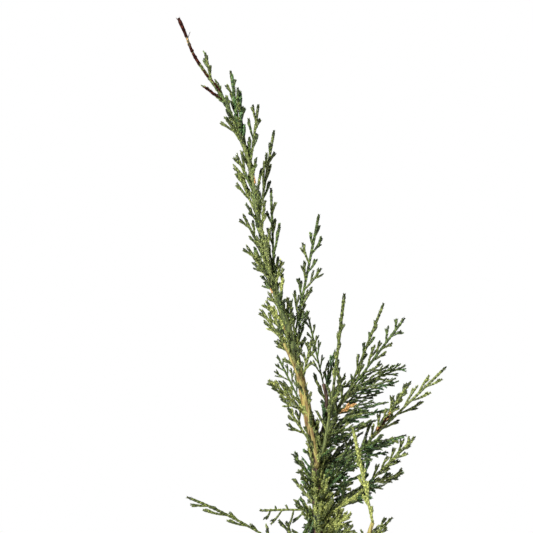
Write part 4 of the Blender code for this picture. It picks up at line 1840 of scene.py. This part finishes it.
# name, carrier, place, heading, rise, length, fan, roll, bow, tone, second, stem tone, habit, upper
SPRAYS = (
    # along the leader, from its tip down
    Spray("spray_tip_right", "trunk", 492, 140, 75, 20, 6, 0, 0, D, M, M, UPRIGHT),
    Spray("spray_tip_left", "trunk", 478, -170, 33, 17, 3, 0, 0, M, M, B, UPRIGHT),
    Spray("spray_leader_plume", "trunk", 454, 152, 81, 45, 12, 0, 0, D, S, M, UPRIGHT),
    Spray("spray_leader_left", "trunk", 448, -165, 55, 22, 9, 0, 0, M, F, M, UPRIGHT),
    Spray("spray_leader_right", "trunk", 433, 40, 79, 43, 12, 0, 0, M, D, M, UPRIGHT),
    Spray("spray_neck_left", "trunk", 414, -154, 62, 29, 9, 0, 0, M, F, M, UPRIGHT),
    Spray("spray_neck_plume", "trunk", 396, 50, 74, 64, 14, 0, 0, M, D, M, UPRIGHT),
    Spray("spray_neck_left_low", "trunk", 398, 160, 64, 35, 10, 0, 0, M, F, F, UPRIGHT),
    Spray("spray_shoulder_left", "trunk", 366, -160, 61, 36, 10, 0, 0, M, F, M, UPRIGHT),
    Spray("spray_shoulder_plume", "trunk", 349, 98, 80, 69, 14, 50, 0, M, D, D, UPRIGHT),
    Spray("spray_shoulder_left_low", "trunk", 351, 164, 53, 31, 10, 0, 0, F, M, F, UPRIGHT),
    Spray("spray_shoulder_front", "trunk", 354, -112, 62, 44, 12, 60, 0, F, M, F, UPRIGHT),
    Spray("spray_shoulder_back", "trunk", 338, 118, 46, 52, 14, 50, 0, D, M, D, BUSHY),
    # in the middle
    Spray("spray_tall_right", "trunk", 309, 30, 76, 92, 20, 0, 0, M, D, D),
    Spray("spray_left_tuft", "trunk", 293, -172, 64, 50, 14, 0, 0, L, F, F),
    Spray("spray_left_curl", "trunk", 256, -158, 41, 40, 15, 10, 4, F, M, L, BUSHY),
    Spray("spray_left_small", "trunk", 238, -158, 52, 31, 12, 0, 0, M, F, F),
    Spray("spray_inner_front", "trunk", 282, -50, 68, 32, 11, 30, 0, M, F, F),
    Spray("spray_front_stem", "stem_front", 0, -176, 56, 28, 8, 0, 0, M, F, F, UPRIGHT),
    Spray("spray_second_stem", "stem_second", 0, 164, 77, 48, 13, 0, 0, D, M, D, FINE),
    Spray("spray_second_side", "stem_second", 5, 55, 66, 30, 11, 0, 0, S, D, S, FINE),
    Spray("spray_whip", "bough_whip", 0, -20, 83, 64, 7, 0, 0, F, M, M, WHIP),
    Spray("spray_middle_back", "trunk", 296, 84, 50, 60, 17, 50, 0, D, M, D),
    Spray("spray_inner_back", "trunk", 256, 118, 42, 62, 18, 50, 0, D, M, D, FINE),
    # to the right
    Spray("spray_fan_upper", "bough_right_upper", 5, 14, 68, 65, 7, 0, 0, D, M, M, UPRIGHT),
    Spray("spray_fan_middle", "bough_right_upper", 0, -6, 53, 58, 16, 0, 0, M, D, D),
    Spray("spray_fan_lower", "bough_right_upper", 3, -4, 22, 40, 16, 30, 0, D, S, M, FINE),
    Spray("spray_arm_outer", "bough_right_middle", 0, 9, 43, 75, 15, 0, 0, F, M, F, UPRIGHT),
    Spray("spray_arm_inner", "bough_right_middle", 0, -14, 55, 51, 12, 20, 0, F, M, F, BUSHY),
    Spray("spray_reach_upper", "bough_right_lower", 0, -7, 45, 45, 15, 0, 0, M, F, F, BUSHY),
    Spray("spray_reach_lower", "bough_right_lower", 3, 18, 14, 28, 12, 30, 0, F, M, F),
    Spray("spray_front_whip", "bough_front_whip", 0, -172, 78, 67, 8, 0, 0, L, F, L, WHIP),
    Spray("spray_dense_upper", "stem_second", 36, 30, 22, 42, 19, 40, 0, S, D, S, FINE),
    Spray("spray_dense_middle", "trunk", 207, -28, 34, 42, 18, 40, 0, S, D, D, FINE),
    Spray("spray_dense_back", "trunk", 194, 76, 28, 66, 22, 60, 0, D, S, S, FINE),
    # low down
    Spray("spray_left_low", "bough_left_low", 0, -172, 27, 61, 15, 10, 3, M, F, M, UPRIGHT, 0.4),
    Spray("spray_left_level", "trunk", 191, -174, 0, 41, 11, 0, 1, M, D, F, DROOPING, 0.3),
    Spray("spray_foot_front", "trunk", 172, -83, 62, 30, 13, 80, 0, L, F, L, BUSHY),
    Spray("spray_foot_right", "trunk", 172, -48, 31, 36, 14, 50, 0, L, F, L, BUSHY),
    Spray("spray_right_low", "trunk", 138, -9, 44, 70, 16, 30, 0, F, M, F, BUSHY),
    Spray("spray_back_low", "bough_back_low", 0, 104, 30, 68, 22, 50, 3, D, M, M, BUSHY),
    Spray("spray_front_low", "bough_front_low", 0, -108, 26, 64, 22, 50, 3, M, F, F, BUSHY),
    Spray("spray_low_right_back", "trunk", 108, 42, 30, 88, 22, 40, 3, M, D, M, BUSHY),
    Spray("spray_low_left_back", "trunk", 114, 150, 24, 84, 22, 40, 3, D, M, M, BUSHY),
    Spray("spray_low_right", "trunk", 66, -16, 30, 92, 22, 40, 3, M, F, M, BUSHY),
    Spray("twig_withered", "bough_right_upper", 25, -52, 22, 20, 5, 20, 0, W, T, W),
    Spray("twig_tan", "bough_right_middle", 0, -20, 52, 24, 4, 20, 0, W, T, B),
    Spray("spray_low_front_right", "trunk", 150, -64, 36, 60, 20, 40, 3, F, M, F, BUSHY),
    Spray("spray_low_front", "trunk", 48, -78, 30, 84, 22, 40, 3, M, F, M, BUSHY),
    Spray("spray_low_back", "trunk", 42, 96, 30, 84, 22, 40, 3, D, M, M, BUSHY),
    Spray("spray_low_left", "trunk", 58, 176, 30, 88, 22, 40, 3, M, D, M, BUSHY),
)


def main() -> None:
    """Builds the plant and the studio, and reports each piece."""
    logging.basicConfig(level=logging.INFO, format="%(name)s: %(message)s")
    effects = Effects()
    trunk = Trunk()
    limbs = {"trunk": trunk.line()}
    pieces = [trunk.build(effects)]
    for bough in BOUGHS:
        limbs[bough.name] = bough.line(limbs["trunk"])
        pieces.append(bough.build(limbs[bough.name], effects))
    shoots = [spray for row in SHOOTS for spray in row.grow(limbs[row.limb])]
    shoots += [spray for row in COMBS for spray in row.grow()]
    foliage = Foliage(SPRAYS + tuple(shoots), Leader().cords(trunk))
    foliage.grow(limbs)
    pieces += foliage.build(effects)
    for piece in pieces:
        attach(piece, BODY)
        LOG.info("%s: %d faces", piece.name, len(piece.data.polygons))
    Studio().build()


if __name__ == "__main__":
    main()
